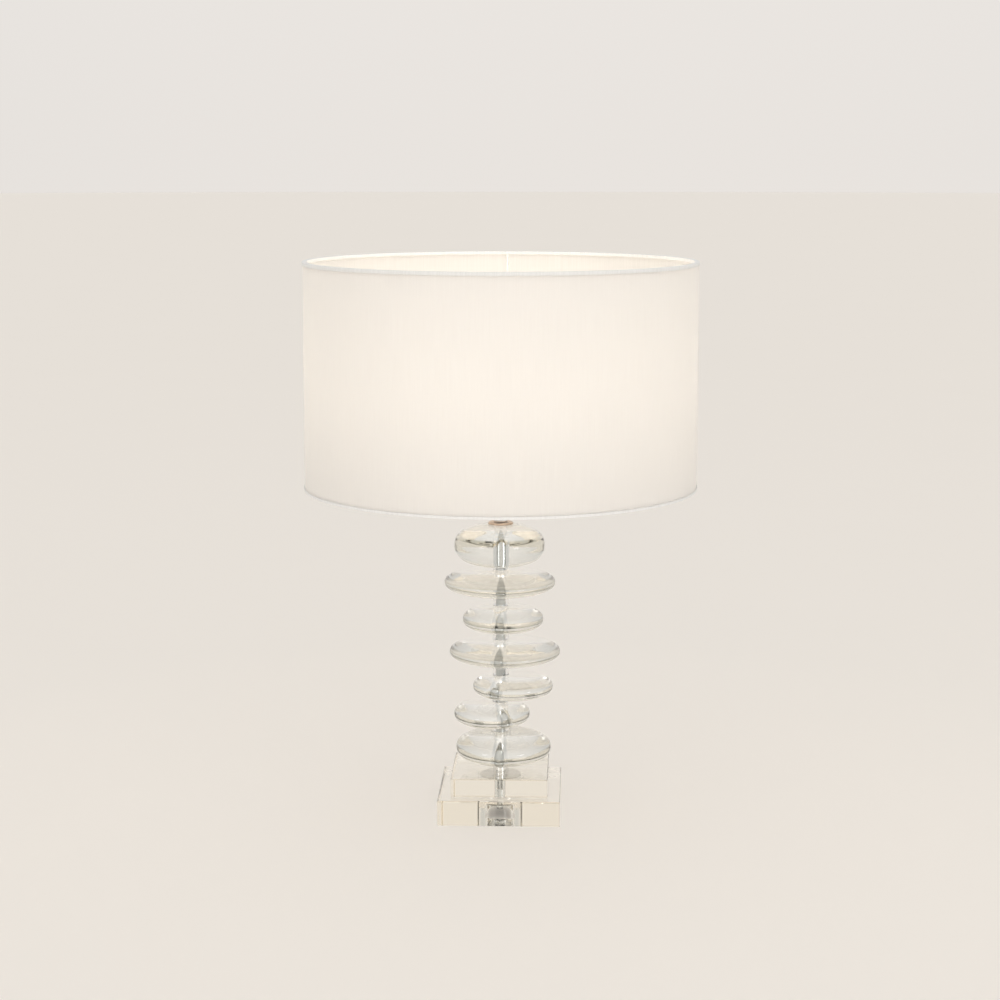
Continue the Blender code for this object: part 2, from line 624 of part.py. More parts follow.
# ------------------------------------------------------------------ socket and switch
def make_socket():
    """The lampholder: cap, shell, insulating liner, core, screw shell and centre contact."""
    wall = SOCKET_WALL
    cap_radius = SOCKET_RADIUS + SEAT_GAP + wall
    bore = TUBE_RADIUS + SEAT_GAP
    cap_top = SOCKET_BOTTOM + SOCKET_CAP_HEIGHT
    dome = SOCKET_BOTTOM + SOCKET_CAP_DOME
    profile = [
        (cap_radius, cap_top), (cap_radius, dome), (SOCKET_CAP_FOOT, SOCKET_BOTTOM + wall),
        (SOCKET_CAP_FOOT, SOCKET_BOTTOM), (bore, SOCKET_BOTTOM), (bore, SOCKET_BOTTOM + 2.0 * wall),
        (SOCKET_CAP_FOOT - wall, SOCKET_BOTTOM + 2.0 * wall), (cap_radius - wall, dome + wall),
        (cap_radius - wall, cap_top),
    ]
    cap = turned("socket_cap", profile, BRASS)
    shell_bottom = dome + 2.0 * wall
    shell_top = SOCKET_BOTTOM + SOCKET_HEIGHT
    shell = ring("socket_shell", SOCKET_RADIUS, SOCKET_RADIUS - wall, shell_bottom, shell_top, BRASS)
    liner = ring(
        "socket_liner", SOCKET_LINER_RADIUS, SOCKET_LINER_BORE, shell_bottom, shell_top - wall, CARD,
    )
    core = ring("socket_core", CORE_RADIUS, CORE_BORE_RADIUS, CORE_BOTTOM, CORE_TOP, BLACK_PLASTIC)
    ring(
        "socket_screw_shell", CORE_RADIUS, SCREW_SHELL_BORE, CORE_TOP + SEAT_GAP,
        shell_top - 2.0 * wall, BRASS,
    )
    rod("socket_contact", CONTACT_RADIUS, CORE_TOP + SEAT_GAP, CONTACT_TOP, BRASS, steps=16)
    window = rod(
        "switch_window_cutter", SPINDLE_RADIUS + RUNNING_GAP, CORE_RADIUS - SPINDLE_DEPTH - SEAT_GAP,
        2.0 * SOCKET_RADIUS, None, steps=16, collection=CUTTERS,
    )
    lay_along_switch(window)
    for piece in (cap, shell, liner, core):
        combine(piece, window, "DIFFERENCE")


def lay_along_switch(item):
    """Lays a piece that was turned about Z along the switch's axis."""
    lay = Matrix.Rotation(SWITCH_ANGLE, 4, "Z") @ Matrix.Rotation(math.radians(90.0), 4, "Y")
    item.data.transform(lay)
    item.location = (0.0, 0.0, SOCKET_BOTTOM + SWITCH_HEIGHT)


def make_switch():
    """The turn knob and its spindle, which reaches into the socket's core."""
    inner = CORE_RADIUS - SPINDLE_DEPTH
    knob = SOCKET_RADIUS + SPINDLE_REACH
    edge = 0.0008
    waist = 0.85 * KNOB_RADIUS
    profile = [
        (0.0, knob + KNOB_LENGTH), (KNOB_RADIUS - edge, knob + KNOB_LENGTH),
        (KNOB_RADIUS, knob + KNOB_LENGTH - edge), (waist, knob), (SPINDLE_RADIUS, knob),
        (SPINDLE_RADIUS, inner), (0.0, inner),
    ]
    lay_along_switch(turned("switch_knob", profile, BLACK_PLASTIC, steps=16, closed=False))


# ------------------------------------------------------------------ bulb
def make_bulb():
    """A screw-in LED bulb: contact, screw cap, housing, LED board and opal globe."""
    cap_bottom = BULB_BOTTOM + BULB_TIP_HEIGHT
    cap_top = cap_bottom + BULB_CAP_HEIGHT
    joint = BULB_BOTTOM + BULB_JOINT_HEIGHT
    belly = BULB_BOTTOM + BULB_BELLY_HEIGHT
    crown = BULB_BOTTOM + BULB_LENGTH
    cap_inner = BULB_CAP_RADIUS - BULB_CAP_WALL
    plug = cap_inner - SEAT_GAP
    tip = [
        (0.0, cap_bottom + BULB_TIP_HEIGHT), (plug, cap_bottom + BULB_TIP_HEIGHT),
        (plug, cap_bottom - SEAT_GAP), (CONTACT_RADIUS, BULB_BOTTOM), (0.0, BULB_BOTTOM),
    ]
    turned("bulb_contact", tip, BLACK_PLASTIC, closed=False)
    ring("bulb_cap", BULB_CAP_RADIUS, cap_inner, cap_bottom, cap_top, STEEL)
    joint_radius = globe_radius(joint, belly, crown, BULB_RADIUS)
    housing_floor = cap_bottom + BULB_TIP_HEIGHT + SEAT_GAP
    wall = BULB_WALL
    housing = [
        (joint_radius, joint - SEAT_GAP), (BULB_CAP_RADIUS, cap_top + SEAT_GAP + wall),
        (BULB_CAP_RADIUS, cap_top + SEAT_GAP), (plug, cap_top + SEAT_GAP), (plug, housing_floor),
        (plug - wall, housing_floor), (plug - wall, cap_top + 2.0 * wall),
        (LED_BOARD_RADIUS - 2.0 * wall, joint - 4.0 * wall), (joint_radius - wall, joint - 4.0 * wall),
        (joint_radius - wall, joint - SEAT_GAP),
    ]
    turned("bulb_housing", housing, WHITE_PLASTIC)
    board_bottom = joint - 4.0 * wall + SEAT_GAP
    rod("bulb_led_board", LED_BOARD_RADIUS, board_bottom, board_bottom + LED_BOARD_THICKNESS, WHITE_STEEL)
    rings = 6
    outer = []
    inner = []
    for index in range(rings):
        level = crown - (crown - joint) * (1.0 - math.cos(math.pi / 2.0 * index / (rings - 1)))
        outer.append((globe_radius(level, belly, crown, BULB_RADIUS), level))
        inner_level = joint + (level - joint) * (crown - wall - joint) / (crown - joint)
        inner_radius = globe_radius(inner_level, belly, crown - wall, BULB_RADIUS - wall)
        inner.append((inner_radius, inner_level))
    turned("bulb_globe", outer + inner[::-1], OPAL, closed=False)


def globe_radius(level, belly, crown, radius):
    """Radius of the globe at a height: an ellipse above the belly and a flatter one below it."""
    reach = crown - belly if level > belly else 2.0 * (crown - belly)
    share = min(abs(level - belly) / reach, 1.0)
    return radius * math.sqrt(max(1.0 - share * share, 0.0))


# ------------------------------------------------------------------ shade
def make_shade_walls():
    """The fabric drum, its lining and the trims folded over both edges."""
    top = SHADE_TOP - TRIM_WALL - SEAT_GAP
    bottom = SHADE_BOTTOM + TRIM_WALL + SEAT_GAP
    ring("shade_fabric", SHADE_RADIUS, SHADE_RADIUS - FABRIC_WALL, bottom, top, SHADE_FABRIC, SHADE_STEPS)
    ring("shade_liner", LINER_RADIUS, LINER_RADIUS - LINER_WALL, bottom, top, SHADE_LINING, SHADE_STEPS)
    make_trim("top_trim", SHADE_TOP, -1.0, TOP_TRIM_HEIGHT)
    make_trim("bottom_trim", SHADE_BOTTOM, 1.0, BOTTOM_TRIM_HEIGHT)


def make_trim(name, edge, inward, height):
    """A strip folded over one edge of the shade, round the drum's walls and its wire ring."""
    outer = SHADE_RADIUS + SEAT_GAP + TRIM_WALL
    inner = RING_RADIUS - RING_WIRE_RADIUS - SEAT_GAP - TRIM_WALL
    web = edge + inward * TRIM_WALL
    lip = edge + inward * height
    profile = [
        (outer, edge), (outer, lip), (outer - TRIM_WALL, lip), (outer - TRIM_WALL, web),
        (inner + TRIM_WALL, web), (inner + TRIM_WALL, lip), (inner, lip), (inner, edge),
    ]
    if inward > 0.0:
        profile.reverse()
    turned(name, profile, TRIM_FABRIC, SHADE_STEPS)


def wire_ring(name, height, material):
    """A wire ring inside the shade's wall."""
    sides = 6
    profile = []
    for index in range(sides):
        turn = math.pi / 2.0 - 2.0 * math.pi * (index + 0.5) / sides
        profile.append((
            RING_RADIUS + RING_WIRE_RADIUS * math.cos(turn),
            height + RING_WIRE_RADIUS * math.sin(turn),
        ))
    turned(name, profile, material, SHADE_STEPS)


def ring_height(edge, inward):
    """Height of a ring's wire inside its folded trim."""
    return edge + inward * (TRIM_WALL + SEAT_GAP + RING_WIRE_RADIUS)


def make_shade_frame():
    """The rings at both edges and the three-armed spider under the top ring."""
    top_ring = ring_height(SHADE_TOP, -1.0)
    wire_ring("top_ring", top_ring, WHITE_STEEL)
    wire_ring("bottom_ring", ring_height(SHADE_BOTTOM, 1.0), WHITE_STEEL)
    spider = ring(
        "spider", SPIDER_HUB_RADIUS, STUD_RADIUS + RUNNING_GAP, HUB_BOTTOM, HUB_TOP, WHITE_STEEL,
    )
    level = (HUB_BOTTOM + HUB_TOP) / 2.0
    root = (SPIDER_HUB_RADIUS + STUD_RADIUS) / 2.0
    end = top_ring - RING_WIRE_RADIUS - SEAT_GAP
    soft = 0.55 * SPIDER_BEND
    knots = (
        ((root - soft, level), (root, level), (root + soft, level)),
        ((RING_RADIUS - SPIDER_BEND - soft, level), (RING_RADIUS - SPIDER_BEND, level),
         (RING_RADIUS - SPIDER_BEND + soft, level)),
        ((RING_RADIUS, level + SPIDER_BEND - soft), (RING_RADIUS, level + SPIDER_BEND),
         (RING_RADIUS, level + SPIDER_BEND + soft)),
        ((RING_RADIUS, end - soft), (RING_RADIUS, end), (RING_RADIUS, end + soft)),
    )
    for number in range(SPIDER_ARMS):
        points = [tuple(Vector((reach, 0.0, height)) for reach, height in knot) for knot in knots]
        arm = wire(f"spider_arm_{number + 1}", points, SPIDER_WIRE_RADIUS, None, 4, CUTTERS)
        turn_about_z(arm, math.radians(90.0) + 2.0 * math.pi * number / SPIDER_ARMS)
        combine(spider, arm, "UNION")


def make_finial():
    """The small chrome nut that holds the shade on the stud."""
    bottom = HUB_TOP + SEAT_GAP
    bore = STUD_RADIUS + RUNNING_GAP
    bore_top = SHOULDER_TOP + STUD_LENGTH + SEAT_GAP
    waist = 0.6 * FINIAL_RADIUS
    collar = 0.18 * FINIAL_HEIGHT
    ball = FINIAL_RADIUS
    middle = bottom + FINIAL_HEIGHT - ball
    turns = [math.radians(angle) for angle in (90.0, 65.0, 40.0, 15.0, -15.0, -40.0)]
    profile = [(ball * math.cos(turn), middle + ball * math.sin(turn)) for turn in turns]
    profile[0] = (0.0, middle + ball)
    profile += [
        (waist, bottom + collar), (FINIAL_RADIUS, bottom + collar / 2.0), (FINIAL_RADIUS, bottom),
        (bore, bottom), (bore, bore_top), (0.0, bore_top),
    ]
    turned("finial", profile, CHROME, closed=False)


def main():
    """Builds the lamp."""
    make_blocks()
    make_feet()
    make_cord_bush()
    make_clamp()
    make_pebbles()
    make_neck()
    make_saddle()
    make_harp()
    make_harp_sleeves()
    make_harp_stud()
    make_socket()
    make_switch()
    make_bulb()
    make_shade_walls()
    make_shade_frame()
    make_finial()


main()
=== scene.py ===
"""Looks of the crystal pebble table lamp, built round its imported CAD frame.

Metres, +Z up, front faces -Y. Every size and place comes from the frame's boxes; the values named
here are the ones that a box can't say: squareness of a stone, pitch of a thread, size of a fillet.
"""

import math

import bmesh
import bpy
import numpy as np
from mathutils import Matrix, Vector


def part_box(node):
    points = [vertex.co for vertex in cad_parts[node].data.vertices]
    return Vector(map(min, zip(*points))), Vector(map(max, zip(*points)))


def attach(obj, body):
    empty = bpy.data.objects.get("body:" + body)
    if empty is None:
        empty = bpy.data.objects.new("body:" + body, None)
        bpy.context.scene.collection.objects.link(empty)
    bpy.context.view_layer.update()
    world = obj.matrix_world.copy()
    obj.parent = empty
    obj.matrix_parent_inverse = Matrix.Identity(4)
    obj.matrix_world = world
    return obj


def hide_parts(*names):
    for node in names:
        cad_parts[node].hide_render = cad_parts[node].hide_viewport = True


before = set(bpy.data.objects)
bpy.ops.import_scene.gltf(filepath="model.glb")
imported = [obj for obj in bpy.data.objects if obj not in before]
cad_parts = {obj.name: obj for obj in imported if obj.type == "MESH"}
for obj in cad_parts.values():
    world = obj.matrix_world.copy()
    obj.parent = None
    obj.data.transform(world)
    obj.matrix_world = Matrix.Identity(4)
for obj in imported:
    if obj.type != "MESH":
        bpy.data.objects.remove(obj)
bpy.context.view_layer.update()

# ---- camera
CAMERA_DISTANCE = 2.1850     # from the lamp's axis
CAMERA_HEIGHT = 0.6888
CAMERA_SIDE = math.radians(2.19)    # how far the camera stands to the right of the lamp's front
CAMERA_PITCH = math.radians(7.27)   # looking down
CAMERA_LENS = 77.6
SENSOR_WIDTH = 36.0
CAMERA_SHIFT = (-0.0007, -0.0800)

# ---- light
LAMP_POWER = 0.90
LAMP_COLOUR = (1.0, 0.89, 0.77)
LAMP_RADIUS = 0.022
LAMP_LEVEL = 0.3             # share of the globe's height
SOFTBOXES = (    # name, power, place
    ("right_softbox", 10.0, (2.5, -2.5, 0.95)),
    ("left_softbox", 5.0, (-2.5, -2.5, 0.95)),
)
SOFTBOX_COLOUR = (0.94, 0.96, 1.0)
SOFTBOX_WIDTH = 0.9
SOFTBOX_AIM = (0.0, 0.0, 0.30)
BOUNCE_POWER = 2.2
BOUNCE_COLOUR = (1.0, 0.95, 0.90)
BOUNCE_PLACE = (0.0, -0.95, 0.01)
BOUNCE_WIDTH = 1.2
SKY_LOW = (0.813, 0.775, 0.737)
SKY_HIGH = (0.95, 0.935, 0.925)
SKY_SIDE = (0.60, 0.605, 0.60)
SKY_FRONT = 1.35             # how much brighter the sky is behind the camera
BOUNCES = (("max_bounces", 24), ("transmission_bounces", 24), ("glossy_bounces", 8), ("diffuse_bounces", 4))

# ---- fineness
FINE_STEPS = 128
ROUND_STEPS = 64
SMALL_STEPS = 32
STONE_STEPS = 160
STONE_RINGS = 44
DRUM_STEPS = 360
DRUM_ROWS = 24
RING_STEPS = 240
NUT_STEPS = 96
FLOOR_STEPS = 96
WIRE_FACETS = 16
SHARP = math.radians(30.0)

# ---- sizes that the boxes can't say
SEAT_GAP = 0.0003            # air between neighbours, as in the CAD
CUT_MARGIN = 0.01            # how far a cutting rod stands out of what it cuts
FILLET_SHARE = 0.45          # the most of a side that a rounded corner takes
FILLET_FLAT = math.radians(165.0)    # a flatter corner isn't rounded
SHEET_EDGE = 0.0002          # rounded edges, from card and board up to the shade's tapes
FINE_EDGE = 0.0003
TURNED_EDGE = 0.0004
NECK_EDGE = 0.0005
BROAD_EDGE = 0.0006
TAPE_EDGE = 0.0009
BORE_RADIUS = 0.0057         # of the holes drilled in the crystal
TUBE_BORE = 0.0038
SLIDE_BORE = 0.0054          # of the pieces threaded on the tube
STUD_BORE = 0.0034           # of the pieces threaded on the harp's stud
SEAT_MARGIN = 0.0005         # a ground seat is this much wider than its spacer
SEAT_RISE = 0.00002          # least height of the step round a ground seat
SQUARENESS = (2.4, 2.4, 2.4, 2.3, 2.3, 2.3, 2.5)    # of the stones, from the base up
CHAMFER = 0.0006             # polished edge of the blocks
RECESS_RADIUS = 0.0240
OUTLET_RADIUS = 0.0050
BUSH_WALL = 0.0011
BUSH_FLANGE = 0.0014
HARP_ANGLE = math.radians(45.0)
HARP_WIRE = 0.0018           # radius of the wire and of the saddle's posts
HARP_WAIST = 0.115           # height of the widest place over the saddle
HARP_LEG = 0.040             # straight foot of the wire
EYE_RADIUS = 0.0085
EYE_THICKNESS = 0.0024
SADDLE_HALF_WIDTH = 0.0060
HOLDER_WALL = 0.0006
CARD_THICKNESS = 0.0008
CORE_BORE = 0.0026
CONTACT_CROWN = 0.0006       # rise of the contact's top to its middle
SPINDLE_HOLE = 0.0024
SPINDLE_DEPTH = 0.0055       # of that hole in the core
FLUTE_DEPTH = 0.0005
CAP_WALL = 0.0004            # of the bulb's cap and the screw shell
BULB_WALL = 0.0012
LAMINATE = 0.0015            # fabric bonded on its lining
SEAM_WIDTH = 0.0120          # overlap where the drum is closed, at the back
SEAM_STEP = 0.0004
SEAM_SLOPE = 0.002
TAPE_THICKNESS = 0.0005
TAPE_FOLD = 0.0051           # from a tape's outer face to its inner one
SPIDER_ARMS = 3
THREAD_PITCH = 0.0036        # of the bulb's cap
THREAD_DEPTH = 0.0009
KNURLS = 20
WEAVE_RADIUS = 0.2           # of the drum that the weave is drawn on
FLOOR_RADIUS = 30.0


# ---- node helpers
class Nodes:
    """A material's node tree, with short calls to add and join nodes."""

    def __init__(self, name):
        self.material = bpy.data.materials.new(name)
        self.material.use_nodes = True
        self.tree = self.material.node_tree
        self.tree.nodes.clear()
        self.output = self.tree.nodes.new("ShaderNodeOutputMaterial")
        self.place = self.add("ShaderNodeTexCoord").outputs["Object"]

    def add(self, kind, **settings):
        node = self.tree.nodes.new(kind)
        for key, value in settings.items():
            setattr(node, key, value)
        return node

    def link(self, start, end):
        self.tree.links.new(start, end)

    def mapped(self, scale, source):
        """Coordinates stretched along each axis."""
        node = self.add("ShaderNodeMapping")
        node.inputs["Scale"].default_value = scale
        self.link(source, node.inputs["Vector"])
        return node.outputs["Vector"]

    def noise(self, scale, vector=None, detail=3.0, roughness=0.5):
        node = self.add("ShaderNodeTexNoise")
        for key, value in (("Scale", scale), ("Detail", detail), ("Roughness", roughness)):
            node.inputs[key].default_value = value
        self.link(vector or self.place, node.inputs["Vector"])
        return node.outputs["Fac"]

    def spread(self, source, low, high, start=0.3, end=0.7):
        """A value mapped from start..end to low..high."""
        node = self.add("ShaderNodeMapRange")
        for key, value in (("From Min", start), ("From Max", end), ("To Min", low), ("To Max", high)):
            node.inputs[key].default_value = value
        self.link(source, node.inputs["Value"])
        return node.outputs["Result"]

    def blend(self, source, first, second):
        """A colour between two, by a value."""
        node = self.add("ShaderNodeMix", data_type="RGBA")
        node.inputs["A"].default_value = (*first, 1.0)
        node.inputs["B"].default_value = (*second, 1.0)
        self.link(source, node.inputs["Factor"])
        return node.outputs["Result"]

    def maths(self, operation, first, second=0.0):
        node = self.add("ShaderNodeMath", operation=operation)
        for socket, value in zip(node.inputs, (first, second)):
            if isinstance(value, (int, float)):
                socket.default_value = value
            else:
                self.link(value, socket)
        return node.outputs["Value"]

    def bump(self, height, distance, strength=1.0):
        node = self.add("ShaderNodeBump")
        node.inputs["Distance"].default_value = distance
        node.inputs["Strength"].default_value = strength
        self.link(height, node.inputs["Height"])
        return node.outputs["Normal"]

    def principled(self, colour, roughness=None, normal=None, **fixed):
        """A Principled shader, its first three sockets linked. Sockets given by name are set."""
        shader = self.add("ShaderNodeBsdfPrincipled")
        for key, value in fixed.items():
            shader.inputs[key.replace("_", " ")].default_value = value
        for key, source in (("Base Color", colour), ("Roughness", roughness), ("Normal", normal)):
            if source is not None:
                self.link(source, shader.inputs[key])
        return shader

    def finish(self, shader):
        self.link(shader.outputs[0], self.output.inputs["Surface"])
        return self.material


# ---- materials
def crystal_material(name, depth, density):
    """Clear optical crystal: a faint tint over a long path, and the slight waviness of hand polishing."""
    n = Nodes(name)
    colour = n.blend(n.noise(18.0), (0.990, 0.994, 0.986), (0.998, 1.0, 0.996))
    roughness = n.spread(n.noise(60.0, detail=4.0), 0.0, 0.012)
    normal = n.bump(n.noise(22.0, detail=1.0), 0.00006)
    shader = n.principled(colour, roughness, normal, IOR=1.517, Transmission_Weight=1.0)
    absorption = n.add("ShaderNodeVolumeAbsorption")
    absorption.inputs["Color"].default_value = (*depth, 1.0)
    absorption.inputs["Density"].default_value = density
    n.link(absorption.outputs["Volume"], n.output.inputs["Volume"])
    return n.finish(shader)


def clear_plastic_material():
    """Water-clear moulded plastic with a slight haze."""
    n = Nodes("clear_moulded_plastic")
    colour = n.blend(n.noise(90.0), (0.95, 0.96, 0.95), (0.99, 0.99, 0.985))
    roughness = n.spread(n.noise(240.0), 0.04, 0.12)
    normal = n.bump(n.noise(160.0), 0.00004)
    return n.finish(n.principled(colour, roughness, normal, IOR=1.49, Transmission_Weight=1.0))


def metal_material(name, dark, light, smooth, rough, scale=140.0):
    """Metal with faint cloudiness and a fine grain."""
    n = Nodes(name)
    cloud = n.noise(45.0, detail=4.0)
    fine = n.noise(scale, detail=5.0, roughness=0.6)
    colour = n.blend(n.spread(cloud, 0.0, 1.0), dark, light)
    roughness = n.spread(n.maths("MULTIPLY", cloud, fine), smooth, rough, 0.12, 0.42)
    return n.finish(n.principled(colour, roughness, n.bump(fine, 0.00001), Metallic=1.0))


def plastic_material(name, first, second, smooth, rough, dents=0.00003, scale=400.0):
    """Moulded, painted or pressed material with a fine surface texture."""
    n = Nodes(name)
    colour = n.blend(n.spread(n.noise(35.0), 0.0, 1.0), first, second)
    fine = n.noise(scale, detail=4.0)
    roughness = n.spread(fine, smooth, rough)
    return n.finish(n.principled(colour, roughness, n.bump(fine, dents)))


def weave(n, threads):
    """A plain weave on an upright drum, with slubs both ways. Gives its height and its upright slubs."""
    split = n.add("ShaderNodeSeparateXYZ")
    n.link(n.place, split.inputs["Vector"])
    turn = n.maths("ARCTAN2", split.outputs["Y"], split.outputs["X"])
    around = n.maths("MULTIPLY", turn, threads)
    up = n.maths("MULTIPLY", split.outputs["Z"], threads / WEAVE_RADIUS)
    cross = n.maths("MULTIPLY", n.maths("SINE", around), n.maths("SINE", up))
    joined = n.add("ShaderNodeCombineXYZ")
    n.link(n.maths("MULTIPLY", turn, WEAVE_RADIUS), joined.inputs["X"])
    n.link(split.outputs["Z"], joined.inputs["Y"])
    upright = n.noise(1.0, n.mapped((900.0, 22.0, 1.0), joined.outputs["Vector"]), detail=3.0)
    level = n.noise(1.0, n.mapped((16.0, 800.0, 1.0), joined.outputs["Vector"]), detail=3.0)
    slubs = n.maths("ADD", upright, n.maths("MULTIPLY", level, 0.5))
    return n.maths("ADD", n.maths("MULTIPLY", cross, 0.25), slubs), upright


def fabric_material(name, first, second, threads, through, rough=0.9, dents=0.00012):
    """Woven cloth. through is the share of light that comes from behind it."""
    n = Nodes(name)
    height, slubs = weave(n, threads)
    colour = n.blend(n.spread(slubs, 0.0, 1.0, 0.25, 0.75), first, second)
    normal = n.bump(height, dents, 0.6)
    roughness = n.spread(slubs, rough - 0.08, rough + 0.05)
    shader = n.principled(colour, roughness, normal, Sheen_Weight=0.15, Sheen_Roughness=0.5)
    if not through:
        return n.finish(shader)
    behind = n.add("ShaderNodeBsdfTranslucent")
    n.link(colour, behind.inputs["Color"])
    n.link(normal, behind.inputs["Normal"])
    mix = n.add("ShaderNodeMixShader")
    mix.inputs["Fac"].default_value = through
    n.link(shader.outputs[0], mix.inputs[1])
    n.link(behind.outputs[0], mix.inputs[2])
    return n.finish(mix)


def opal_material():
    """Opal globe, lit from inside."""
    n = Nodes("opal_globe_lit")
    colour = n.blend(n.noise(30.0), (0.95, 0.93, 0.88), (0.99, 0.97, 0.93))
    roughness = n.spread(n.noise(200.0), 0.28, 0.38)
    glow = {"Emission_Strength": 2.2, "Emission_Color": (1.0, 0.84, 0.62, 1.0)}
    return n.finish(n.principled(colour, roughness, **glow))


def floor_material():
    """Plain pale matt floor."""
    n = Nodes("pale_floor")
    colour = n.blend(n.noise(3.0, detail=2.0), (0.880, 0.840, 0.784), (0.887, 0.847, 0.791))
    return n.finish(n.principled(colour, Roughness=0.75, Specular_IOR_Level=0.25))


MATERIALS = {
    "block_crystal": crystal_material("block_crystal", (0.90, 0.77, 0.50), 4.0),
    "stone_crystal": crystal_material("stone_crystal", (0.70, 0.67, 0.53), 4.0),
    "clear_plastic": clear_plastic_material(),
    "chrome": metal_material("polished_chrome", (0.72, 0.73, 0.75), (0.82, 0.82, 0.83), 0.03, 0.10),
    # a darker copy of the chrome for the tube: painted reflection of dark surroundings
    "chrome_painted_dark_reflection": metal_material("tube_chrome_painted_dark_reflection", (0.46, 0.47, 0.47), (0.66, 0.67, 0.66), 0.03, 0.09),
    "steel": metal_material(
        "zinc_plated_steel", (0.52, 0.53, 0.53), (0.70, 0.70, 0.68), 0.20, 0.42, scale=260.0,
    ),
    "copper": metal_material("rose_copper_plate", (0.54, 0.42, 0.33), (0.70, 0.56, 0.45), 0.24, 0.44),
    "brass": metal_material("lacquered_brass", (0.70, 0.52, 0.24), (0.86, 0.68, 0.36), 0.16, 0.34),
    "gasket": plastic_material("cork_gasket", (0.30, 0.265, 0.20), (0.42, 0.375, 0.29), 0.70, 0.88),
    "black_plastic": plastic_material(
        "black_phenolic", (0.018, 0.018, 0.018), (0.035, 0.034, 0.033), 0.28, 0.45,
    ),
    "card": plastic_material(
        "fibre_card", (0.16, 0.13, 0.10), (0.24, 0.20, 0.15), 0.75, 0.92, dents=0.00008, scale=900.0,
    ),
    "white_steel": plastic_material(
        "white_enamelled_wire", (0.82, 0.82, 0.80), (0.88, 0.88, 0.86), 0.22, 0.38,
    ),
    "white_plastic": plastic_material(
        "white_bulb_housing", (0.84, 0.84, 0.82), (0.90, 0.90, 0.88), 0.28, 0.42,
    ),
    "led_board": plastic_material("led_board_mask", (0.78, 0.79, 0.77), (0.88, 0.88, 0.86), 0.30, 0.50),
    "fabric": fabric_material(
        "shade_weave", (0.895, 0.882, 0.868), (0.92, 0.91, 0.896), 1400.0, 0.50,
    ),
    "lining": fabric_material(
        "shade_lining_film", (0.90, 0.885, 0.85), (0.95, 0.935, 0.905), 1400.0, 0.50, 0.55, 0.00003,
    ),
    "trim": fabric_material("edge_tape", (0.76, 0.76, 0.745), (0.84, 0.84, 0.825), 1800.0, 0.0),
    "opal": opal_material(),
}
CLEAR = [MATERIALS[name] for name in ("block_crystal", "stone_crystal", "clear_plastic")]


# ---- mesh helpers
def placed(name, data):
    """An object for some data, in the scene."""
    item = bpy.data.objects.new(name, data)
    bpy.context.scene.collection.objects.link(item)
    return item


def piece(name, verts, faces, material):
    """A mesh object, smooth on round faces and sharp at corners."""
    mesh = bpy.data.meshes.new(name)
    mesh.from_pydata([tuple(v) for v in verts], [], faces)
    return finished(name, mesh, material)


def finished(name, mesh, material):
    """An object for a mesh, with outward faces, smooth shading and sharp corners."""
    shape = bmesh.new()
    shape.from_mesh(mesh)
    bmesh.ops.remove_doubles(shape, verts=shape.verts, dist=1e-7)
    bmesh.ops.recalc_face_normals(shape, faces=shape.faces)
    shape.to_mesh(mesh)
    shape.free()
    mesh.shade_smooth()
    mesh.set_sharp_from_angle(angle=SHARP)
    mesh.materials.clear()
    mesh.materials.append(MATERIALS[material])
    return placed(name, mesh)


def shown(item, slot, *nodes, body="lamp_base"):
    """Puts a piece on its body and hides the CAD nodes it replaces; slot is not used. Clear ones let lamps
    through.
    """
    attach(item, body)
    if item.data.materials[0] in CLEAR:
        item.visible_shadow = False
        item.visible_diffuse = False
    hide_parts(*nodes)


def fillet(profile, size, points=3):
    """A closed outline in (radius, height) with its corners rounded."""
    rounded = []
    count = len(profile)
    for index, corner in enumerate(profile):
        here = Vector(corner)
        before = Vector(profile[index - 1]) - here
        after = Vector(profile[(index + 1) % count]) - here
        reach = min(size, FILLET_SHARE * before.length, FILLET_SHARE * after.length)
        if before.angle(after) > FILLET_FLAT or reach <= 0.0:
            rounded.append(here)
            continue
        start = here + before.normalized() * reach
        end = here + after.normalized() * reach
        for step in range(points + 1):
            t = step / points
            rounded.append((1 - t) ** 2 * start + 2 * t * (1 - t) * here + t * t * end)
    return [(max(p[0], 0.0), p[1]) for p in rounded]


def lathe(name, profile, material, steps=ROUND_STEPS, centre=(0.0, 0.0), closed=True, wave=None):
    """A turned piece about an upright line. wave(turn, radius, height) may move each point."""
    verts = []
    count = len(profile)
    for step in range(steps):
        turn = 2.0 * math.pi * step / steps
        for radius, height in profile:
            if wave:
                radius, height = wave(turn, radius, height)
            verts.append((
                centre[0] + radius * math.cos(turn), centre[1] + radius * math.sin(turn), height,
            ))
    faces = []
    for step in range(steps):
        here = step * count
        there = (step + 1) % steps * count
        for index in range(count if closed else count - 1):
            following = (index + 1) % count
            faces.append((here + index, there + index, there + following, here + following))
    return piece(name, verts, faces, material)


def skin(here, there, count):
    """Faces between two rings of vertices, whose numbers start at here and there."""
    turns = [(step, (step + 1) % count) for step in range(count)]
    return [(here + step, here + after, there + after, there + step) for step, after in turns]


def band(outer, inner, bottom, top):
    """Outline of a plain ring."""
    return [(outer, bottom), (outer, top), (inner, top), (inner, bottom)]


def disc(radius, bottom, top):
    """Outline of a plain drum, closed on its axis."""
    return [(0.0, bottom), (radius, bottom), (radius, top), (0.0, top)]


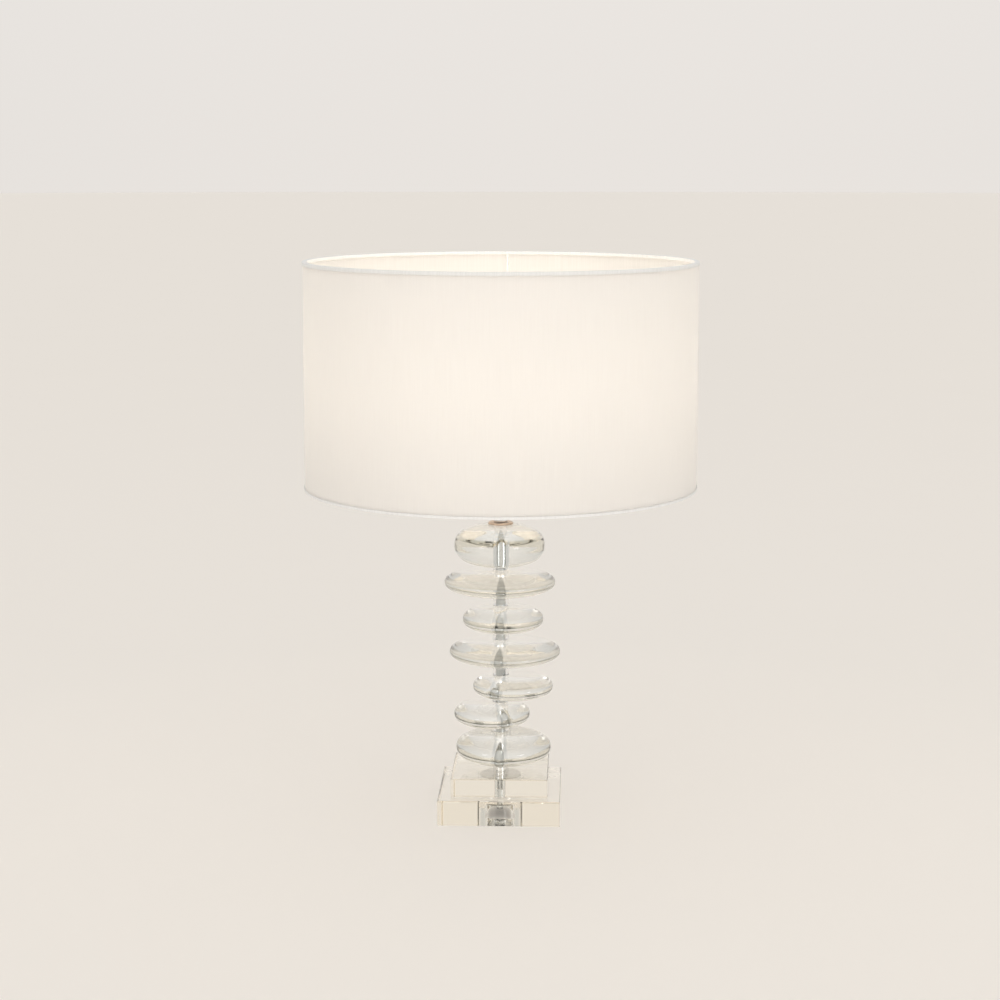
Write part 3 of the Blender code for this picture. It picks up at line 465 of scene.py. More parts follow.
def swept(name, points, radius, material, resolution):
    """A round wire along a smooth line of Bezier knots, each (left handle, point, right handle)."""
    path = bpy.data.curves.new(name + "_path", "CURVE")
    path.dimensions = "3D"
    path.bevel_depth = radius
    path.bevel_resolution = WIRE_FACETS // 4 - 1
    path.use_fill_caps = True
    spline = path.splines.new("BEZIER")
    spline.bezier_points.add(len(points) - 1)
    spline.resolution_u = resolution
    for knot, (left, here, right) in zip(spline.bezier_points, points):
        knot.handle_left_type = "FREE"
        knot.handle_right_type = "FREE"
        knot.co = here
        knot.handle_left = left
        knot.handle_right = right
    guide = placed(name + "_path", path)
    mesh = evaluated(guide)
    bpy.data.objects.remove(guide)
    bpy.data.curves.remove(path)
    mesh.name = name
    return finished(name, mesh, material)


def evaluated(item):
    """The mesh that an object's curve or modifiers make."""
    bpy.context.view_layer.update()
    graph = bpy.context.evaluated_depsgraph_get()
    return bpy.data.meshes.new_from_object(item.evaluated_get(graph))


def cut(item, other, operation="DIFFERENCE"):
    """Applies a Boolean with another object, which is then removed."""
    tool = item.modifiers.new("Cut", "BOOLEAN")
    tool.operation = operation
    tool.solver = "EXACT"
    tool.object = other
    mesh = evaluated(item)
    item.modifiers.clear()
    old = item.data
    item.data = mesh
    mesh.shade_smooth()
    mesh.set_sharp_from_angle(angle=SHARP)
    bpy.data.meshes.remove(old)
    bpy.data.objects.remove(other)


def tool_rod(radius, bottom, top, steps=ROUND_STEPS, lay=None):
    """A plain cylinder to cut with."""
    item = lathe("cutting_rod", disc(radius, bottom, top), "steel", steps)
    if lay:
        item.data.transform(lay)
    return item


def sides(node):
    """(lowest corner, highest corner, outer radius about Z) of a CAD node."""
    low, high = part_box(node)
    return low, high, (high.x - low.x) / 2.0


def centre_of(node):
    """Where a CAD node's middle stands on the floor."""
    low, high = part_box(node)
    return (low.x + high.x) / 2.0, (low.y + high.y) / 2.0


# ---- base
def block(name, node):
    """A polished crystal block with flat chamfers."""
    low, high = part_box(node)
    shape = bmesh.new()
    place = Matrix.Translation((low + high) / 2.0) @ Matrix.Diagonal((*(high - low), 1.0))
    bmesh.ops.create_cube(shape, size=1.0, matrix=place)
    bmesh.ops.bevel(
        shape, geom=list(shape.edges), offset=CHAMFER, segments=1, affect="EDGES", profile=0.5,
    )
    mesh = bpy.data.meshes.new(name)
    shape.to_mesh(mesh)
    shape.free()
    return finished(name, mesh, "block_crystal")


def make_base():
    """Both blocks, the pads under them and the bush of the cord's outlet."""
    lower = block("crystal_foot_block", "base_lower_block")
    upper = block("crystal_step_block", "base_upper_block")
    low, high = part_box("base_lower_block")
    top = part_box("base_upper_block")[1].z
    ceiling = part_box("base_rubber_washer")[1].z + SEAT_GAP
    bush_low, bush_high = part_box("cord_bush")
    outlet = (bush_low.z + bush_high.z) / 2.0
    lay = Matrix.Translation((0.0, 0.0, outlet)) @ Matrix.Rotation(math.radians(-90.0), 4, "X")
    cut(lower, tool_rod(RECESS_RADIUS, low.z - CUT_MARGIN, ceiling, FINE_STEPS))
    cut(lower, tool_rod(BORE_RADIUS, low.z - CUT_MARGIN, high.z + CUT_MARGIN))
    cut(lower, tool_rod(OUTLET_RADIUS, 0.0, high.y + CUT_MARGIN, lay=lay))
    cut(upper, tool_rod(BORE_RADIUS, high.z - CUT_MARGIN, top + CUT_MARGIN))
    shown(lower, "crystal", "base_lower_block")
    shown(upper, "crystal", "base_upper_block")
    for number in range(1, 5):
        node = f"foot_pad_{number}"
        low, high, radius = sides(node)
        dome = fillet(disc(radius, low.z, high.z), FINE_EDGE)
        pad = lathe(f"clear_pad_{number}", dome, "clear_plastic", SMALL_STEPS, centre_of(node))
        shown(pad, "clear_plastic", node)
    make_bush(bush_low, bush_high, lay)


def make_bush(low, high, lay):
    """The outlet's flanged bush, with a rounded mouth for the cord."""
    flange = (high.x - low.x) / 2.0
    barrel = OUTLET_RADIUS - SEAT_GAP
    hole = barrel - BUSH_WALL
    seat = high.y - BUSH_FLANGE
    profile = [
        (flange, high.y), (flange, seat), (barrel, seat), (barrel, low.y), (hole, low.y), (hole, high.y),
    ]
    bush = lathe("outlet_bush", fillet(profile, TURNED_EDGE), "clear_plastic", SMALL_STEPS)
    bush.data.transform(lay)
    shown(bush, "clear_plastic", "cord_bush")


def make_clamp():
    """The tube through the stack, and the washers and nut that hold it under the base."""
    low, high, radius = sides("threaded_tube")
    profile = fillet(band(radius, TUBE_BORE, low.z, high.z), TURNED_EDGE)
    # the tube wears the darker copy of the chrome, a painted dark reflection
    shown(lathe("clamp_tube", profile, "chrome_painted_dark_reflection"), "chrome", "threaded_tube")
    for name, node, material, slot in (
        ("recess_rubber_disc", "base_rubber_washer", "gasket", "rubber"),
        ("recess_washer", "base_washer", "steel", "steel"),
    ):
        low, high, outer = sides(node)
        profile = fillet(band(outer, radius + SEAT_GAP, low.z, high.z), FINE_EDGE)
        shown(lathe(name, profile, material, FINE_STEPS), slot, node)
    make_nut(radius + SEAT_GAP)


def make_nut(bore):
    """A hexagon nut with both faces chamfered round."""
    low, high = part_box("base_nut")
    corner = max(high.x - low.x, high.y - low.y) / 2.0
    flat = corner * math.cos(math.pi / 6.0)
    along_x = high.x - low.x > high.y - low.y

    def hexagon(turn, radius, height):
        if radius < flat:
            return radius, height
        side = (turn if along_x else turn + math.pi / 6.0) % (math.pi / 3.0) - math.pi / 6.0
        return min(radius, flat / math.cos(side)), height

    ease = 0.30 * (corner - flat)
    face = 0.985 * flat
    lead = 0.0006
    profile = [
        (face, low.z), (corner, low.z + ease), (corner, high.z - ease), (face, high.z),
        (bore + lead, high.z), (bore, high.z - lead), (bore, low.z + lead), (bore + lead, low.z),
    ]
    shown(lathe("recess_nut", profile, "steel", NUT_STEPS, wave=hexagon), "steel", "base_nut")


# ---- stones
def stone_height(reach, radius, half, square):
    """Height of a stone's surface over its middle, at a distance from its own centre."""
    share = 1.0 - np.clip(reach / radius, 0.0, 1.0) ** square
    return half * np.clip(share, 0.0, 1.0) ** (1.0 / square)


def make_stone(number):
    """One drilled stone, with a ground seat round the bore on both faces."""
    node = f"crystal_pebble_{number}"
    low, high, radius = sides(node)
    half = (high.z - low.z) / 2.0
    middle = (high.z + low.z) / 2.0
    offset = (high.x + low.x) / 2.0
    square = SQUARENESS[number - 1]
    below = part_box(f"clear_spacer_{number}")[1].z + SEAT_GAP
    above_node = f"clear_spacer_{number + 1}" if number < len(SQUARENESS) else "top_cap"
    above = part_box(above_node)[0].z - SEAT_GAP
    seat = sides(f"clear_spacer_{number}")[2] + SEAT_MARGIN
    turns = np.linspace(0.0, 2.0 * math.pi, STONE_STEPS, endpoint=False)
    rim = offset * np.cos(turns) + np.sqrt(radius ** 2 - (offset * np.sin(turns)) ** 2)
    bore = np.full_like(turns, BORE_RADIUS)
    ground = np.full_like(turns, seat)
    rings = []

    def ring(reach, height):
        rings.append(np.stack([
            reach * np.cos(turns), reach * np.sin(turns), np.broadcast_to(height, turns.shape),
        ], axis=1))

    def surface(reach, side):
        away = np.hypot(reach * np.cos(turns) - offset, reach * np.sin(turns))
        return middle + side * stone_height(away, radius, half, square)

    spots = np.sin(np.linspace(0.0, math.pi / 2.0, STONE_RINGS + 1))[1:-1]
    ring(bore, above)
    ring(ground, above)
    ring(ground, np.maximum(surface(ground, 1.0), above + SEAT_RISE))
    for spot in spots:
        reach = seat + (rim - seat) * spot
        ring(reach, surface(reach, 1.0))
    ring(rim, middle)
    for spot in spots[::-1]:
        reach = seat + (rim - seat) * spot
        ring(reach, surface(reach, -1.0))
    ring(ground, np.minimum(surface(ground, -1.0), below - SEAT_RISE))
    ring(ground, below)
    ring(bore, below)
    faces = []
    for index in range(len(rings)):
        faces += skin(index * STONE_STEPS, (index + 1) % len(rings) * STONE_STEPS, STONE_STEPS)
    stone = piece(f"stone_{number}", np.concatenate(rings), faces, "stone_crystal")
    shown(stone, "crystal", node)


def make_stack():
    """The stones and the clear spacers between them."""
    for number in range(1, len(SQUARENESS) + 1):
        make_stone(number)
        node = f"clear_spacer_{number}"
        low, high, radius = sides(node)
        profile = fillet(band(radius, SLIDE_BORE, low.z, high.z), TURNED_EDGE)
        shown(lathe(f"stack_spacer_{number}", profile, "clear_plastic"), "clear_plastic", node)


# ---- neck and harp
def make_neck():
    """The copper-toned cap on the top stone and the chrome neck above it."""
    low, high, radius = sides("top_cap")
    shoulder = high.z - 0.45 * (high.z - low.z)
    slope = 0.0012
    profile = [
        (radius, low.z), (radius, shoulder), (radius - slope, high.z), (SLIDE_BORE, high.z),
        (SLIDE_BORE, low.z),
    ]
    shown(lathe("stack_cap", fillet(profile, BROAD_EDGE), "copper"), "chrome", "top_cap")
    low, high, radius = sides("neck_tube")
    profile = fillet(band(radius, SLIDE_BORE, low.z, high.z), NECK_EDGE)
    shown(lathe("neck_sleeve", profile, "chrome"), "chrome", "neck_tube")


def in_harp_plane(spread, height):
    """A place in the harp's plane, from its distance off the axis and its height."""
    return Vector((spread * math.cos(HARP_ANGLE), spread * math.sin(HARP_ANGLE), height))


def make_saddle():
    """The strip that holds the harp's feet, with rounded ends and upturned posts."""
    low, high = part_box("harp_saddle")
    spread = math.hypot(*centre_of("harp_sleeve_2"))
    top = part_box("socket_cap")[0].z - SEAT_GAP
    half_length = spread + SADDLE_HALF_WIDTH
    outline = []
    for step in range(ROUND_STEPS):
        turn = 2.0 * math.pi * step / ROUND_STEPS
        end = math.copysign(half_length - SADDLE_HALF_WIDTH, math.cos(turn))
        outline.append((end + SADDLE_HALF_WIDTH * math.cos(turn), SADDLE_HALF_WIDTH * math.sin(turn)))
    levels = (
        (low.z, FINE_EDGE), (low.z + FINE_EDGE, 0.0), (top - FINE_EDGE, 0.0), (top, FINE_EDGE),
    )
    verts = []
    for level, inset in levels:
        for x, y in outline:
            length = math.hypot(x, y)
            verts.append((x * (1.0 - inset / length), y * (1.0 - inset / SADDLE_HALF_WIDTH), level))
    last = len(verts) - ROUND_STEPS
    faces = [tuple(range(ROUND_STEPS - 1, -1, -1)), tuple(range(last, len(verts)))]
    for start in range(0, last, ROUND_STEPS):
        faces += skin(start, start + ROUND_STEPS, ROUND_STEPS)
    saddle = piece("saddle_strip", verts, faces, "steel")
    saddle.data.transform(Matrix.Rotation(HARP_ANGLE, 4, "Z"))
    cut(saddle, tool_rod(SLIDE_BORE, low.z - CUT_MARGIN, top + CUT_MARGIN))
    root = top - 0.0008
    for side in (-1, 1):
        foot = in_harp_plane(side * spread, 0.0)
        profile = fillet(disc(HARP_WIRE, root, high.z), TURNED_EDGE)
        cut(saddle, lathe("saddle_post", profile, "steel", SMALL_STEPS, (foot.x, foot.y)), "UNION")
    shown(saddle, "steel", "harp_saddle")
    return spread, high.z


def make_harp(spread, foot):
    """The bowed wire with its flat eye, the stud in it and the two sleeves at its feet."""
    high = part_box("harp_wire")[1]
    waist_spread = math.hypot(high.x, high.y) - HARP_WIRE * math.sqrt(2.0)
    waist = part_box("harp_saddle")[0].z + HARP_WAIST
    crown = high.z - EYE_THICKNESS / 2.0
    foot = foot + SEAT_GAP
    bend = foot + HARP_LEG
    short = 0.25 * HARP_LEG
    ease = 0.45 * (waist - bend)
    full = 0.62
    knots = (
        ((spread, foot), (0.0, -short), (0.0, short)),
        ((spread, bend), (0.0, -short), (0.0, ease)),
        ((waist_spread, waist), (0.0, -ease), (0.0, full * (crown - waist))),
        ((EYE_RADIUS, crown), (full * (waist_spread - EYE_RADIUS), 0.0), (-0.3 * EYE_RADIUS, 0.0)),
    )
    right = []
    left = []
    for (reach, height), (in_x, in_z), (out_x, out_z) in knots:
        arrive = (reach + in_x, height + in_z)
        leave = (reach + out_x, height + out_z)
        right.append((in_harp_plane(*arrive), in_harp_plane(reach, height), in_harp_plane(*leave)))
        left.append((
            in_harp_plane(-leave[0], leave[1]), in_harp_plane(-reach, height),
            in_harp_plane(-arrive[0], arrive[1]),
        ))
    harp = swept("harp_bow", right + left[::-1], HARP_WIRE, "chrome", 24)
    profile = fillet(band(EYE_RADIUS, STUD_BORE, high.z - EYE_THICKNESS, high.z), TURNED_EDGE)
    flat = lathe("harp_eye", profile, "chrome", SMALL_STEPS)
    cut(harp, tool_rod(STUD_BORE, high.z - CUT_MARGIN, high.z + CUT_MARGIN, SMALL_STEPS))
    cut(harp, flat, "UNION")
    shown(harp, "chrome", "harp_wire")
    for number in (1, 2):
        node = f"harp_sleeve_{number}"
        low, high, radius = sides(node)
        length = high.z - low.z
        slim = 0.94 * radius
        hole = 0.0022
        flare = [
            (radius, low.z), (slim, low.z + 0.25 * length), (slim, high.z - 0.2 * length), (radius, high.z),
            (hole, high.z), (hole, low.z),
        ]
        profile = fillet(flare, FINE_EDGE)
        sleeve = lathe(f"foot_sleeve_{number}", profile, "chrome", SMALL_STEPS, centre_of(node))
        shown(sleeve, "chrome", node, body=node)
    make_stud()


def make_stud():
    """The threaded stud in the harp's eye."""
    low, high, head = sides("harp_stud")
    eye_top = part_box("harp_wire")[1].z
    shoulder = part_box("spider")[0].z - SEAT_GAP
    stem = 0.0030
    flange = 0.0050
    pitch = 0.0009
    groove = stem - 0.00035
    tip = stem - 0.0005
    thread_end = high.z - 0.0004
    under = eye_top - EYE_THICKNESS - SEAT_GAP
    profile = [
        (0.0, low.z), (flange, low.z), (flange, under), (stem, under), (stem, eye_top + SEAT_GAP),
        (head, eye_top + SEAT_GAP), (head, shoulder), (stem, shoulder),
    ]
    height = shoulder + 0.0006
    while height + pitch < thread_end:
        profile += [(stem, height), (groove, height + pitch / 2.0)]
        height += pitch
    profile += [(stem, thread_end), (tip, high.z), (0.0, high.z)]
    shown(lathe("harp_screw", profile, "steel", SMALL_STEPS), "steel", "harp_stud")


# ---- socket and switch
def make_socket():
    """The lampholder: domed cap, beaded shell, card liner, core, screw shell and centre contact."""
    low, high, radius = sides("socket_cap")
    bore = 0.0053
    foot = 0.0105
    dome = low.z + 0.0085
    lip = 0.0012
    outer = []
    for step in range(9):
        t = math.pi / 2.0 * step / 8
        outer.append((
            foot + (radius - foot) * math.sin(t), dome - (dome - low.z - HOLDER_WALL) * math.cos(t),
        ))
    inner = [(r - HOLDER_WALL, h + HOLDER_WALL) for r, h in outer[::-1]]
    profile = [(bore, low.z), (foot, low.z)] + outer + [
        (radius, high.z - lip), (radius - HOLDER_WALL * 0.2, high.z), (radius - HOLDER_WALL, high.z),
    ] + inner + [(bore, low.z + 2.0 * HOLDER_WALL)]
    cap = lathe("holder_cap", profile, "brass", FINE_STEPS)
    low, high, radius = sides("socket_shell")
    bead = high.z - 0.0085
    bead_depth = 0.0007
    bead_half = 0.0016
    rim = 0.0008
    flare = 0.0003
    profile = [(radius, low.z)]
    for step in range(9):
        t = math.pi * step / 8
        profile.append((radius + bead_depth * math.sin(t), bead - bead_half * math.cos(t)))
    profile += [
        (radius, high.z - rim), (radius + flare, high.z), (radius - HOLDER_WALL, high.z),
        (radius - HOLDER_WALL, low.z),
    ]
    shell = lathe("holder_shell", profile, "brass", FINE_STEPS)
    low, high, radius = sides("socket_liner")
    profile = fillet(band(radius, radius - CARD_THICKNESS, low.z, high.z), SHEET_EDGE)
    liner = lathe("holder_card", profile, "card", FINE_STEPS)
    low, high, radius = sides("socket_core")
    core = lathe("holder_core", fillet(band(radius, CORE_BORE, low.z, high.z), BROAD_EDGE), "black_plastic")
    knob_low, knob_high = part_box("switch_knob")
    axis = (knob_low.z + knob_high.z) / 2.0
    lay = Matrix.Translation((0.0, 0.0, axis)) @ Matrix.Rotation(
        HARP_ANGLE - math.radians(90.0), 4, "Z",
    ) @ Matrix.Rotation(math.radians(90.0), 4, "Y")
    for item, node, slot in (
        (cap, "socket_cap", "brass"), (shell, "socket_shell", "brass"),
        (liner, "socket_liner", "insulating_card"), (core, "socket_core", "black_plastic"),
    ):
        cut(item, tool_rod(SPINDLE_HOLE, radius - SPINDLE_DEPTH, 2.0 * radius, SMALL_STEPS, lay))
        shown(item, slot, node)
    low, high, radius = sides("socket_screw_shell")
    profile = thin_sleeve(radius, low.z, high.z, 40)
    shown(lathe("holder_screw_shell", profile, "brass"), "brass", "socket_screw_shell")
    low, high, radius = sides("socket_contact")
    profile = [(0.0, low.z), (radius, low.z), (radius, high.z - CONTACT_CROWN), (0.0, high.z)]
    shown(lathe("holder_contact", profile, "brass", SMALL_STEPS), "brass", "socket_contact")
    make_knob(lay)


def thin_sleeve(radius, low, high, levels):
    """Outline of a thin metal sleeve, divided along its height."""
    heights = np.linspace(low, high, levels)
    return [(radius, z) for z in heights] + [(radius - CAP_WALL, z) for z in heights[::-1]]


def make_knob(lay):
    """The fluted turn knob on its spindle."""
    knob = 0.0056
    spindle = 0.0020
    start = sides("socket_shell")[2] + 0.0075
    end = start + 0.0095
    inner = sides("socket_core")[2] - 0.0050
    neck, neck_end = 0.86 * knob, start + 0.0006
    full_end = end - 0.0020
    profile = [(0.0, inner), (spindle, inner), (spindle, start), (0.80 * knob, start)]
    for t in np.linspace(0.0, 1.0, 10):
        profile.append((neck + (knob - neck) * t, neck_end + (full_end - neck_end) * t))
    profile += [(knob, end - 0.0009), (knob - 0.0005, end - 0.0002), (knob - 0.0012, end), (0.0, end)]

    def flute(turn, radius, height):
        if height < start + 0.0008 or height > end - 0.0010 or radius < 0.7 * knob:
            return radius, height
        return radius - FLUTE_DEPTH * (0.5 - 0.5 * math.cos(KNURLS * turn)) ** 2, height

    item = lathe("turn_knob", profile, "black_plastic", 12 * KNURLS, wave=flute)
    item.data.transform(lay)
    shown(item, "black_plastic", "switch_knob", body="switch_knob")


# ---- bulb
def make_bulb():
    """A screw-in bulb: contact, threaded cap, housing, board and opal globe."""
    low, high, cap_radius = sides("bulb_cap")
    plain = 0.0030
    fade = 0.0015

    def rolled(turn, radius, height):
        """The cap's rolled thread, faded out at both ends."""
        ease = min(1.0, max(0.0, (min(height - low.z, high.z - plain - height)) / fade))
        phase = height / THREAD_PITCH * 2.0 * math.pi - turn
        return radius - THREAD_DEPTH * ease * (0.5 - 0.5 * math.cos(phase)), height

    cap = lathe("bulb_screw_cap", thin_sleeve(cap_radius, low.z, high.z, 90), "steel", wave=rolled)
    shown(cap, "bulb_cap", "bulb_cap", body="bulb")
    low, high, plug = sides("bulb_contact")
    profile = [
        (0.0, low.z), (0.0036, low.z + 0.0002), (0.0042, low.z + 0.0008), (0.0052, low.z + 0.0010),
        (plug - 0.0008, low.z + 0.0036), (plug, low.z + 0.0044), (plug, high.z), (0.0, high.z),
    ]
    insulator = lathe("bulb_insulator", profile, "black_plastic")
    shown(insulator, "black_plastic", "bulb_contact", body="bulb")
    make_housing(plug)
    low, high, radius = sides("bulb_led_board")
    board = lathe("bulb_board", fillet(disc(radius, low.z, high.z), SHEET_EDGE), "led_board")
    shown(board, "led_board", "bulb_led_board", body="bulb")
    make_globe()


def make_housing(plug):
    """The white housing, flared from the cap to the globe."""
    low, high, radius = sides("bulb_housing")
    cap_high, cap_radius = sides("bulb_cap")[1:]
    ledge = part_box("bulb_led_board")[0].z - SEAT_GAP
    start = cap_high.z + SEAT_GAP
    outer = []
    for step in range(17):
        t = step / 16
        swell = 0.35 * t + 0.65 * (t * t * (3.0 - 2.0 * t))
        rise = (high.z - start - BULB_WALL) * t
        outer.append((cap_radius + (radius - cap_radius) * swell, start + BULB_WALL + rise))
    profile = [(plug, low.z), (plug, start), (cap_radius, start)] + outer + [
        (radius - BULB_WALL, high.z), (radius - BULB_WALL, ledge), (radius - 3.0 * BULB_WALL, ledge),
        (plug - BULB_WALL, start + BULB_WALL), (plug - BULB_WALL, low.z),
    ]
    shown(lathe("bulb_body", profile, "white_plastic"), "white_plastic", "bulb_housing", body="bulb")


def make_globe():
    """The opal globe: round above its belly, drawn in below it."""
    low, high, radius = sides("bulb_globe")
    joint = sides("bulb_housing")[2]
    belly = low.z + 0.0160

    def outline(shrink):
        """The globe's outline from the top down, drawn in by a wall's thickness."""
        reach = radius - shrink
        under = math.acos((joint - shrink) / reach)
        points = []
        for step in range(41):
            turn = step / 40 * (math.pi / 2.0 + under)
            drop = turn - math.pi / 2.0
            if drop <= 0.0:
                points.append((reach * math.sin(turn), belly + (high.z - shrink - belly) * math.cos(turn)))
            else:
                points.append((reach * math.cos(drop), belly - drop / under * (belly - low.z)))
        return points

    profile = outline(0.0) + outline(BULB_WALL)[::-1]
    globe = lathe("bulb_opal_globe", profile, "opal", closed=False)
    shown(globe, "opal_globe", "bulb_globe", body="bulb")
    globe.visible_shadow = False


# ---- shade
def make_drum():
    """The shade's wall: cloth bonded on a lining, closed by an overlapped seam at the back."""
    low, high, radius = sides("shade_fabric")
    inner = radius - LAMINATE
    steps = DRUM_STEPS
    verts = []
    for row in range(DRUM_ROWS + 1):
        height = low.z + (high.z - low.z) * row / DRUM_ROWS
        for face in (radius, inner):
            for step in range(steps):
                turn = 2.0 * math.pi * step / steps
                off = abs((turn - math.pi / 2.0 + math.pi) % (2.0 * math.pi) - math.pi) * radius
                share = min(1.0, max(0.0, (SEAM_WIDTH / 2.0 - off) / SEAM_SLOPE))
                reach = face + SEAM_STEP * (face == radius) * share
                verts.append((reach * math.cos(turn), reach * math.sin(turn), height))
    faces = []
    layer = 2 * steps
    for here in range(0, DRUM_ROWS * layer, layer):
        there = here + layer
        for step in range(steps):
            after = (step + 1) % steps
            faces.append((here + step, here + after, there + after, there + step))
            faces.append((
                here + steps + after, here + steps + step, there + steps + step, there + steps + after,
            ))
    for base, turned in ((0, 1), (DRUM_ROWS * layer, -1)):
        for step in range(steps):
            after = (step + 1) % steps
            quad = (base + step, base + steps + step, base + steps + after, base + after)
            faces.append(quad[::turned])
    mesh = bpy.data.meshes.new("shade_drum")
    mesh.from_pydata(verts, [], faces)
    drum = finished("shade_drum", mesh, "fabric")
    drum.data.materials.append(MATERIALS["lining"])
    middle = (radius + inner) / 2.0
    for face in drum.data.polygons:
        if math.hypot(face.center.x, face.center.y) < middle:
            face.material_index = 1
    shown(drum, "shade_fabric", "shade_fabric", "shade_liner", body="shade")


def make_trim(name, node, upward):
    """A tape folded over one edge of the drum, softly rounded, with its free edges a little uneven."""
    low, high, radius = sides(node)
    edge, lip = (high.z, low.z) if upward else (low.z, high.z)
    under = edge + (-TAPE_THICKNESS if upward else TAPE_THICKNESS)
    outside = radius - TAPE_THICKNESS
    inner = radius - TAPE_FOLD
    inside = inner + TAPE_THICKNESS
    outline = [
        (outside, lip), (radius, lip), (radius, edge), (inner, edge), (inner, lip), (inside, lip),
        (inside, under), (outside, under),
    ]

    def uneven(turn, r, z):
        if abs(z - lip) < 0.3 * abs(edge - lip):
            z += 0.00012 * math.sin(37.0 * turn) + 0.00008 * math.sin(91.0 * turn + 1.0)
        return r, z

    trim = lathe(name, fillet(outline, TAPE_EDGE, 4), "trim", DRUM_STEPS, wave=uneven)
    shown(trim, "trim_fabric", node, body="shade")


def make_rings():
    """The wire rings inside the trims. Gives their radius."""
    for name, node in (("upper_wire_ring", "top_ring"), ("lower_wire_ring", "bottom_ring")):
        low, high, radius = sides(node)
        wire = (high.z - low.z) / 2.0
        middle = (high.z + low.z) / 2.0
        centre = radius - wire
        profile = []
        for step in range(12):
            turn = 2.0 * math.pi * step / 12
            profile.append((centre + wire * math.cos(turn), middle + wire * math.sin(turn)))
        shown(lathe(name, profile, "white_steel", RING_STEPS), "white_steel", node, body="shade")
    return centre


def make_spider(ring_radius):
    """The washer on the stud and three arms that reach out and up to the top ring."""
    low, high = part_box("spider")
    hub = 0.0110
    hub_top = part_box("finial")[0].z - SEAT_GAP
    arm = 0.0014
    level = (low.z + hub_top) / 2.0
    bend = 0.0080
    soft = 0.55 * bend
    root = 0.0070
    profile = fillet(band(hub, STUD_BORE, low.z, hub_top), TURNED_EDGE)
    spider = lathe("spider_frame", profile, "white_steel", SMALL_STEPS)
    line = (
        ((root - soft, level), (root, level), (root + soft, level)),
        ((ring_radius - bend - soft, level), (ring_radius - bend, level), (ring_radius - bend + soft, level)),
        ((ring_radius, level + bend - soft), (ring_radius, level + bend), (ring_radius, level + bend + soft)),
        ((ring_radius, high.z - soft), (ring_radius, high.z), (ring_radius, high.z + soft)),
    )
    for number in range(SPIDER_ARMS):
        knots = [tuple(Vector((reach, 0.0, height)) for reach, height in knot) for knot in line]
        wire = swept("spider_arm", knots, arm, "white_steel", 12)
        wire.data.transform(
            Matrix.Rotation(math.radians(90.0) + 2.0 * math.pi * number / SPIDER_ARMS, 4, "Z")
        )
        cut(spider, wire, "UNION")
    shown(spider, "white_steel", "spider", body="shade")
    spider.visible_shadow = False


def make_finial():
    """The chrome ball nut on top."""
    low, high, radius = sides("finial")
    middle = high.z - radius
    profile = [(0.0, high.z)]
    for step in range(1, 25):
        turn = math.radians(90.0 - 130.0 * step / 24)
        profile.append((max(radius * math.cos(turn), 0.0), middle + radius * math.sin(turn)))
    collar = low.z + 0.0024
    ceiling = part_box("harp_stud")[1].z + SEAT_GAP
    profile += [
        (0.62 * radius, collar + 0.0006), (0.60 * radius, collar), (radius - 0.0004, collar - 0.0006),
        (radius, collar - 0.0012), (radius, low.z + FINE_EDGE), (radius - FINE_EDGE, low.z),
        (STUD_BORE, low.z), (STUD_BORE, ceiling), (0.0, ceiling),
    ]
    shown(lathe("shade_finial", profile, "chrome", closed=False), "chrome", "finial", body="finial")


# ---- studio
def make_studio():
    """Pale floor, soft sky, two softboxes, a low bounce before the lamp and the lamp's own light."""
    scene = bpy.context.scene
    scene.view_settings.view_transform = "Standard"
    for key, count in BOUNCES:
        setattr(scene.cycles, key, count)
    scene.cycles.caustics_refractive = False
    scene.cycles.caustics_reflective = False
    make_floor()
    make_world()
    globe_low, globe_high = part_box("bulb_globe")
    lamp = add_light("bulb_light", "POINT", LAMP_POWER, LAMP_COLOUR, LAMP_RADIUS)
    lamp.location = (0.0, 0.0, globe_low.z + LAMP_LEVEL * (globe_high.z - globe_low.z))
    for name, power, place in SOFTBOXES:
        aim(add_light(name, "AREA", power, SOFTBOX_COLOUR, SOFTBOX_WIDTH), place, SOFTBOX_AIM)
    bounce = add_light("floor_bounce", "AREA", BOUNCE_POWER, BOUNCE_COLOUR, BOUNCE_WIDTH)
    bounce.location = BOUNCE_PLACE
    bounce.rotation_euler = (math.pi, 0.0, 0.0)
    bounce.visible_camera = False
    bounce.visible_glossy = False
    bounce.visible_transmission = False


def make_floor():
    """A large disc for the floor."""
    mesh = bpy.data.meshes.new("pale_floor")
    turns = np.linspace(0, 2 * math.pi, FLOOR_STEPS, False)
    verts = [(FLOOR_RADIUS * math.cos(t), FLOOR_RADIUS * math.sin(t), 0.0) for t in turns]
    mesh.from_pydata(verts, [], [tuple(range(FLOOR_STEPS))])
    mesh.materials.append(floor_material())
    return placed("pale_floor", mesh)


def add_light(name, kind, power, colour, size):
    """A lamp with its power, colour and size."""
    data = bpy.data.lights.new(name, kind)
    data.energy = power
    data.color = colour
    if kind == "AREA":
        data.size = size
    else:
        data.shadow_soft_size = size
    return placed(name, data)


def aim(item, place, target):
    """Puts a light or camera somewhere and turns it to look at a point."""
    item.location = place
    look = Vector(target) - Vector(place)
    item.rotation_euler = look.to_track_quat("-Z", "Y").to_euler()


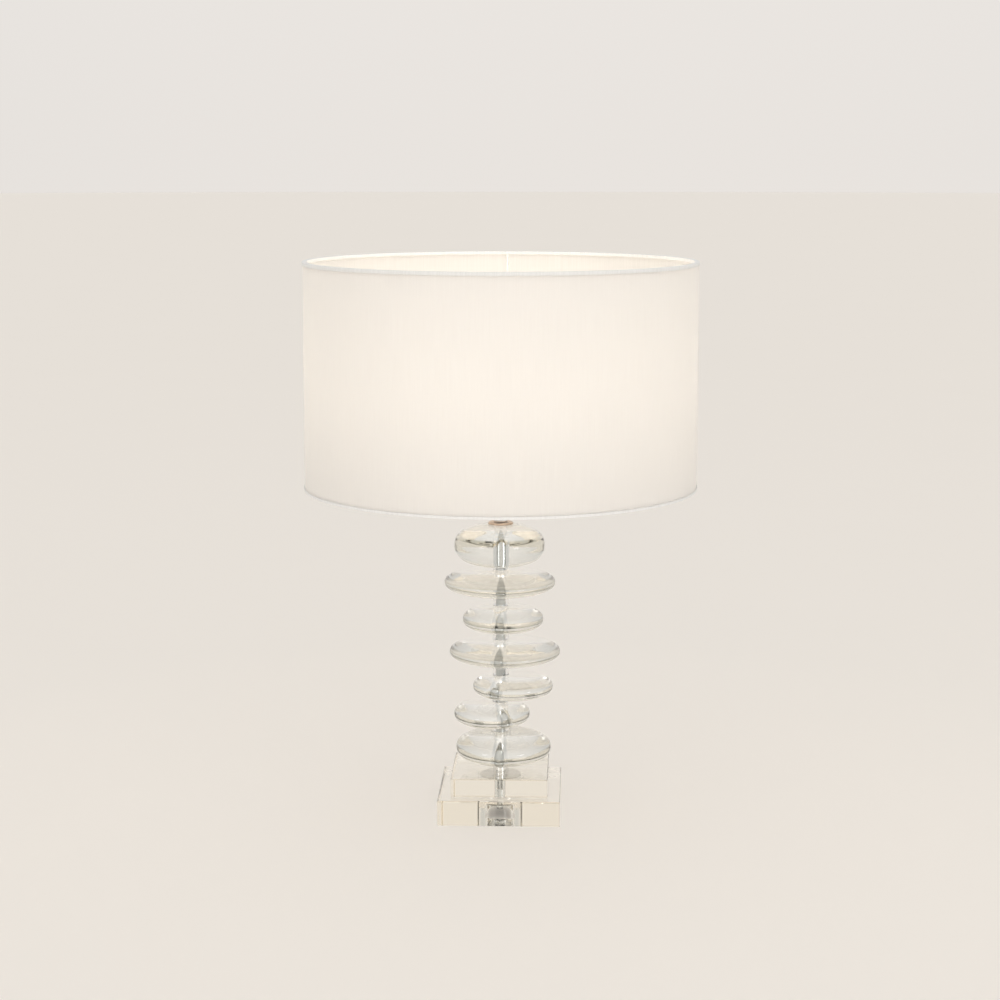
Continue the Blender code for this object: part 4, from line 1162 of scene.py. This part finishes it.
def make_world():
    """A soft sky: paler overhead than at the horizon, darker and cooler at the sides, brightest in front."""
    world = bpy.data.worlds.new("soft_sky")
    world.use_nodes = True
    tree = world.node_tree
    tree.nodes.clear()

    def add(kind, inputs, **settings):
        """A node with its settings. inputs gives each socket's value, or the socket linked to it."""
        node = tree.nodes.new(kind)
        for key, value in settings.items():
            setattr(node, key, value)
        for key, value in inputs.items():
            if isinstance(value, bpy.types.NodeSocket):
                tree.links.new(value, node.inputs[key])
            else:
                node.inputs[key].default_value = value
        return node

    place = add("ShaderNodeTexCoord", {})
    split = add("ShaderNodeSeparateXYZ", {"Vector": place.outputs["Generated"]}).outputs
    height = add("ShaderNodeMapRange", {"Value": split["Z"]}).outputs["Result"]
    rise = add(
        "ShaderNodeMix", {"Factor": height, "A": (*SKY_LOW, 1.0), "B": (*SKY_HIGH, 1.0)}, data_type="RGBA",
    )
    side = add("ShaderNodeMath", {0: split["X"], 1: split["X"]}, operation="MULTIPLY")
    colour = add(
        "ShaderNodeMix",
        {"Factor": side.outputs["Value"], "A": rise.outputs["Result"], "B": (*SKY_SIDE, 1.0)},
        data_type="RGBA",
    )
    front = add("ShaderNodeMapRange", {
        "Value": split["Y"], "From Min": 0.0, "From Max": -1.0, "To Min": 1.0, "To Max": SKY_FRONT,
    })
    sky = add("ShaderNodeBackground", {
        "Color": colour.outputs["Result"], "Strength": front.outputs["Result"],
    })
    add("ShaderNodeOutputWorld", {"Surface": sky.outputs["Background"]})
    bpy.context.scene.world = world


def make_camera():
    """The camera, at the lamp's front."""
    data = bpy.data.cameras.new("front_camera")
    data.lens = CAMERA_LENS
    data.sensor_width = SENSOR_WIDTH
    data.shift_x, data.shift_y = CAMERA_SHIFT
    camera = placed("front_camera", data)
    place = Vector((
        CAMERA_DISTANCE * math.sin(CAMERA_SIDE), -CAMERA_DISTANCE * math.cos(CAMERA_SIDE), CAMERA_HEIGHT,
    ))
    drop = Vector((0.0, 0.0, CAMERA_HEIGHT - CAMERA_DISTANCE * math.tan(CAMERA_PITCH)))
    aim(camera, place, drop)
    bpy.context.scene.camera = camera


def main():
    make_camera()
    make_base()
    make_clamp()
    make_stack()
    make_neck()
    make_harp(*make_saddle())
    make_socket()
    make_bulb()
    make_drum()
    make_trim("upper_tape", "top_trim", True)
    make_trim("lower_tape", "bottom_trim", False)
    make_spider(make_rings())
    make_finial()
    make_studio()


main()
